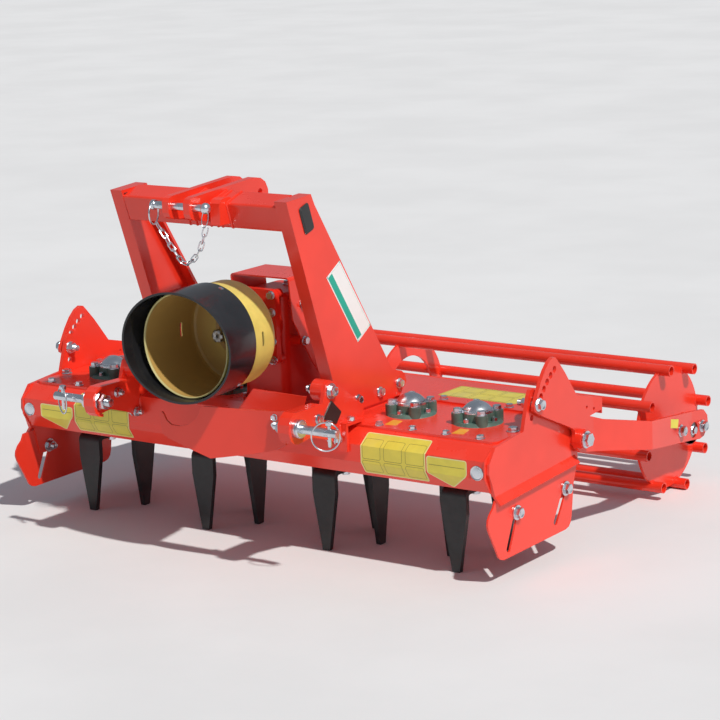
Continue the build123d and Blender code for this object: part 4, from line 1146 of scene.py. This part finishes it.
class HARROW_OT_frame_welds(bpy.types.Operator):
    """Weld the ears, the tower and the end plates"""
    bl_idname = "harrow.frame_welds"
    bl_label = "Frame welds"

    def execute(self, context):
        shape = Shape()
        lean = math.radians(18.55)

        def tube_corner(x, y, z):
            return at(x, -275 + y * math.cos(lean) - z * math.sin(lean),
                      902 + y * math.sin(lean) + z * math.cos(lean))

        for x in (-44.5, -22.5, 22.5, 44.5, 59.0, 91.0):
            run = [(35.6, 30), (30, 35.6), (-30, 35.6), (-35.6, 30), (-35.6, -30), (-30, -35.6)]
            shape.bead([tube_corner(x, y, z) for y, z in run], 3.0)
        for side in (1, -1):
            for x in (EAR_FACE + 0.8, EAR_BACK - 0.8):
                shape.bead([at(side * x, y, BEAM_Z + 0.6) for y in (-212, -142)], 3.6)
            for x in (EAR_FACE + 0.8, EAR_BACK - 0.8):
                shape.bead([at(side * x, -213.6, z) for z in (325, 370)], 3.4)
            for run in ([(-182, 237.4), (-205.8, 276), (-205.8, 320), (-168, 347)],
                        [(182, 237.4), (205.8, 276), (205.8, 320), (191, 350)]):
                shape.bead([at(side * (SIDE_INNER - 1.4), y, z) for y, z in run], 3.0)
            boss = [(PIVOT.y - 18, PIVOT.z - 3), (PIVOT.y, PIVOT.z - 22.4), (PIVOT.y + 18, PIVOT.z - 3)]
            shape.bead([at(side * 763.4, y, z) for y, z in boss], 2.6)
            for y in (-104.6, 104.6):
                foot = [(249, 368.6), (264, 368.6), (265, 428)]
                shape.bead([at(side * x, y, z) for x, z in foot], 2.8)
        shape.piece("frame_welds", "frame", "Red gloss paint", "red_paint")
        return {"FINISHED"}


# ---------------------------------------------------------------- studio
SUN_FROM = (0.76, -0.29, 1.0)
CAMERA_AT = (3.903, -5.2696, 1.831)
CAMERA_FORWARD = (-0.57674, 0.78873, -0.21279)
CAMERA_RIGHT = (0.81150, 0.58313, -0.03802)


def floor_material(colours):
    """Pale smooth concrete."""
    material, nodes, shader = new_material("Pale floor", Roughness=0.85)
    position = nodes.add("ShaderNodeNewGeometry").outputs["Position"]
    drift = nodes.ramp(nodes.noise(position, 1.2, 6.0), 0.3, 0.7)
    tone = nodes.mix(drift, rgba(colours.floor, 0.97), rgba(colours.floor, 1.03))
    nodes.feed(shader.inputs["Base Color"], tone)
    bump(nodes, shader, nodes.noise(position, 180.0, 3.0), 0.05, 0.001)
    return material


def lay_floor(scene):
    """A wide flat floor just under the machine."""
    mesh, form = bpy.data.meshes.new("Floor"), bmesh.new()
    bmesh.ops.create_grid(form, x_segments=2, y_segments=2, size=30.0)
    form.to_mesh(mesh)
    form.free()
    mesh.materials.append(floor_material(scene.harrow_colours))
    floor = bpy.data.objects.new("Floor", mesh)
    floor.location.z = -0.001
    scene.collection.objects.link(floor)


def hang_lights(scene):
    """An even sky and one low warm sun."""
    world = bpy.data.worlds.new("Sky")
    world.use_nodes = True
    background = world.node_tree.nodes["Background"]
    background.inputs["Color"].default_value = (0.80, 0.88, 1.0, 1.0)
    background.inputs["Strength"].default_value = scene.harrow_light.sky
    scene.world = world
    sun = bpy.data.lights.new("Sun", "SUN")
    sun.energy = scene.harrow_light.sun
    sun.angle = math.radians(1.5)
    sun.color = (1.0, 0.97, 0.92)
    lamp = bpy.data.objects.new("Sun", sun)
    lamp.rotation_euler = Vector(SUN_FROM).to_track_quat("Z", "Y").to_euler()
    scene.collection.objects.link(lamp)


def set_camera(scene):
    """The camera in front of the machine's right end, slightly above it."""
    lens = bpy.data.cameras.new("Camera")
    lens.lens = 124.0
    lens.sensor_width = 36.0
    lens.clip_end = 200.0
    camera = bpy.data.objects.new("Camera", lens)
    scene.collection.objects.link(camera)
    forward, right = Vector(CAMERA_FORWARD), Vector(CAMERA_RIGHT)
    turn = Matrix((right, right.cross(forward), -forward)).transposed().to_4x4()
    camera.matrix_world = Matrix.Translation(CAMERA_AT) @ turn
    scene.camera = camera


class HARROW_OT_stage(bpy.types.Operator):
    """Build the floor, the lamps, the world and the camera"""
    bl_idname = "harrow.stage"
    bl_label = "Stage"

    def execute(self, context):
        lay_floor(context.scene)
        hang_lights(context.scene)
        set_camera(context.scene)
        context.scene.view_settings.view_transform = "Standard"
        return {"FINISHED"}


class HARROW_PT_panel(bpy.types.Panel):
    """Lists the harrow's operators, colours and sizes in the sidebar"""
    bl_idname = "HARROW_PT_panel"
    bl_label = "Power harrow"
    bl_space_type = "VIEW_3D"
    bl_region_type = "UI"
    bl_category = "Harrow"

    def draw(self, context):
        for operator in OPERATORS:
            self.layout.operator(operator.bl_idname)
        for name, kind in GROUPS.items():
            for key in kind.__annotations__:
                self.layout.prop(getattr(context.scene, name), key)


OPERATORS = (
    HARROW_OT_finishes, HARROW_OT_cover_bolts, HARROW_OT_housing_bolts, HARROW_OT_hitch_bolts,
    HARROW_OT_top_link_pin, HARROW_OT_linch_pins, HARROW_OT_plugs, HARROW_OT_front_labels,
    HARROW_OT_flat_labels, HARROW_OT_splined_shaft, HARROW_OT_guard_trim, HARROW_OT_gearbox_fittings,
    HARROW_OT_deflector_bolts, HARROW_OT_arm_fittings, HARROW_OT_rotor_bolts, HARROW_OT_roller_welds,
    HARROW_OT_frame_welds, HARROW_OT_stage,
)
GROUPS = {"harrow_colours": HarrowColours, "harrow_sizes": HarrowSizes, "harrow_light": HarrowLight}
CLASSES = (*GROUPS.values(), *OPERATORS, HARROW_PT_panel)


def register():
    """Registers the classes and hangs the settings on the scene."""
    for item in CLASSES:
        bpy.utils.register_class(item)
    for name, kind in GROUPS.items():
        setattr(bpy.types.Scene, name, PointerProperty(type=kind))


def unregister():
    """Takes the settings and the classes away again."""
    for name in GROUPS:
        delattr(bpy.types.Scene, name)
    for item in reversed(CLASSES):
        bpy.utils.unregister_class(item)


def main():
    """Dress the harrow."""
    register()
    for operator in OPERATORS:
        category, name = operator.bl_idname.split(".")
        getattr(getattr(bpy.ops, category), name)()


if __name__ == "__main__":
    main()
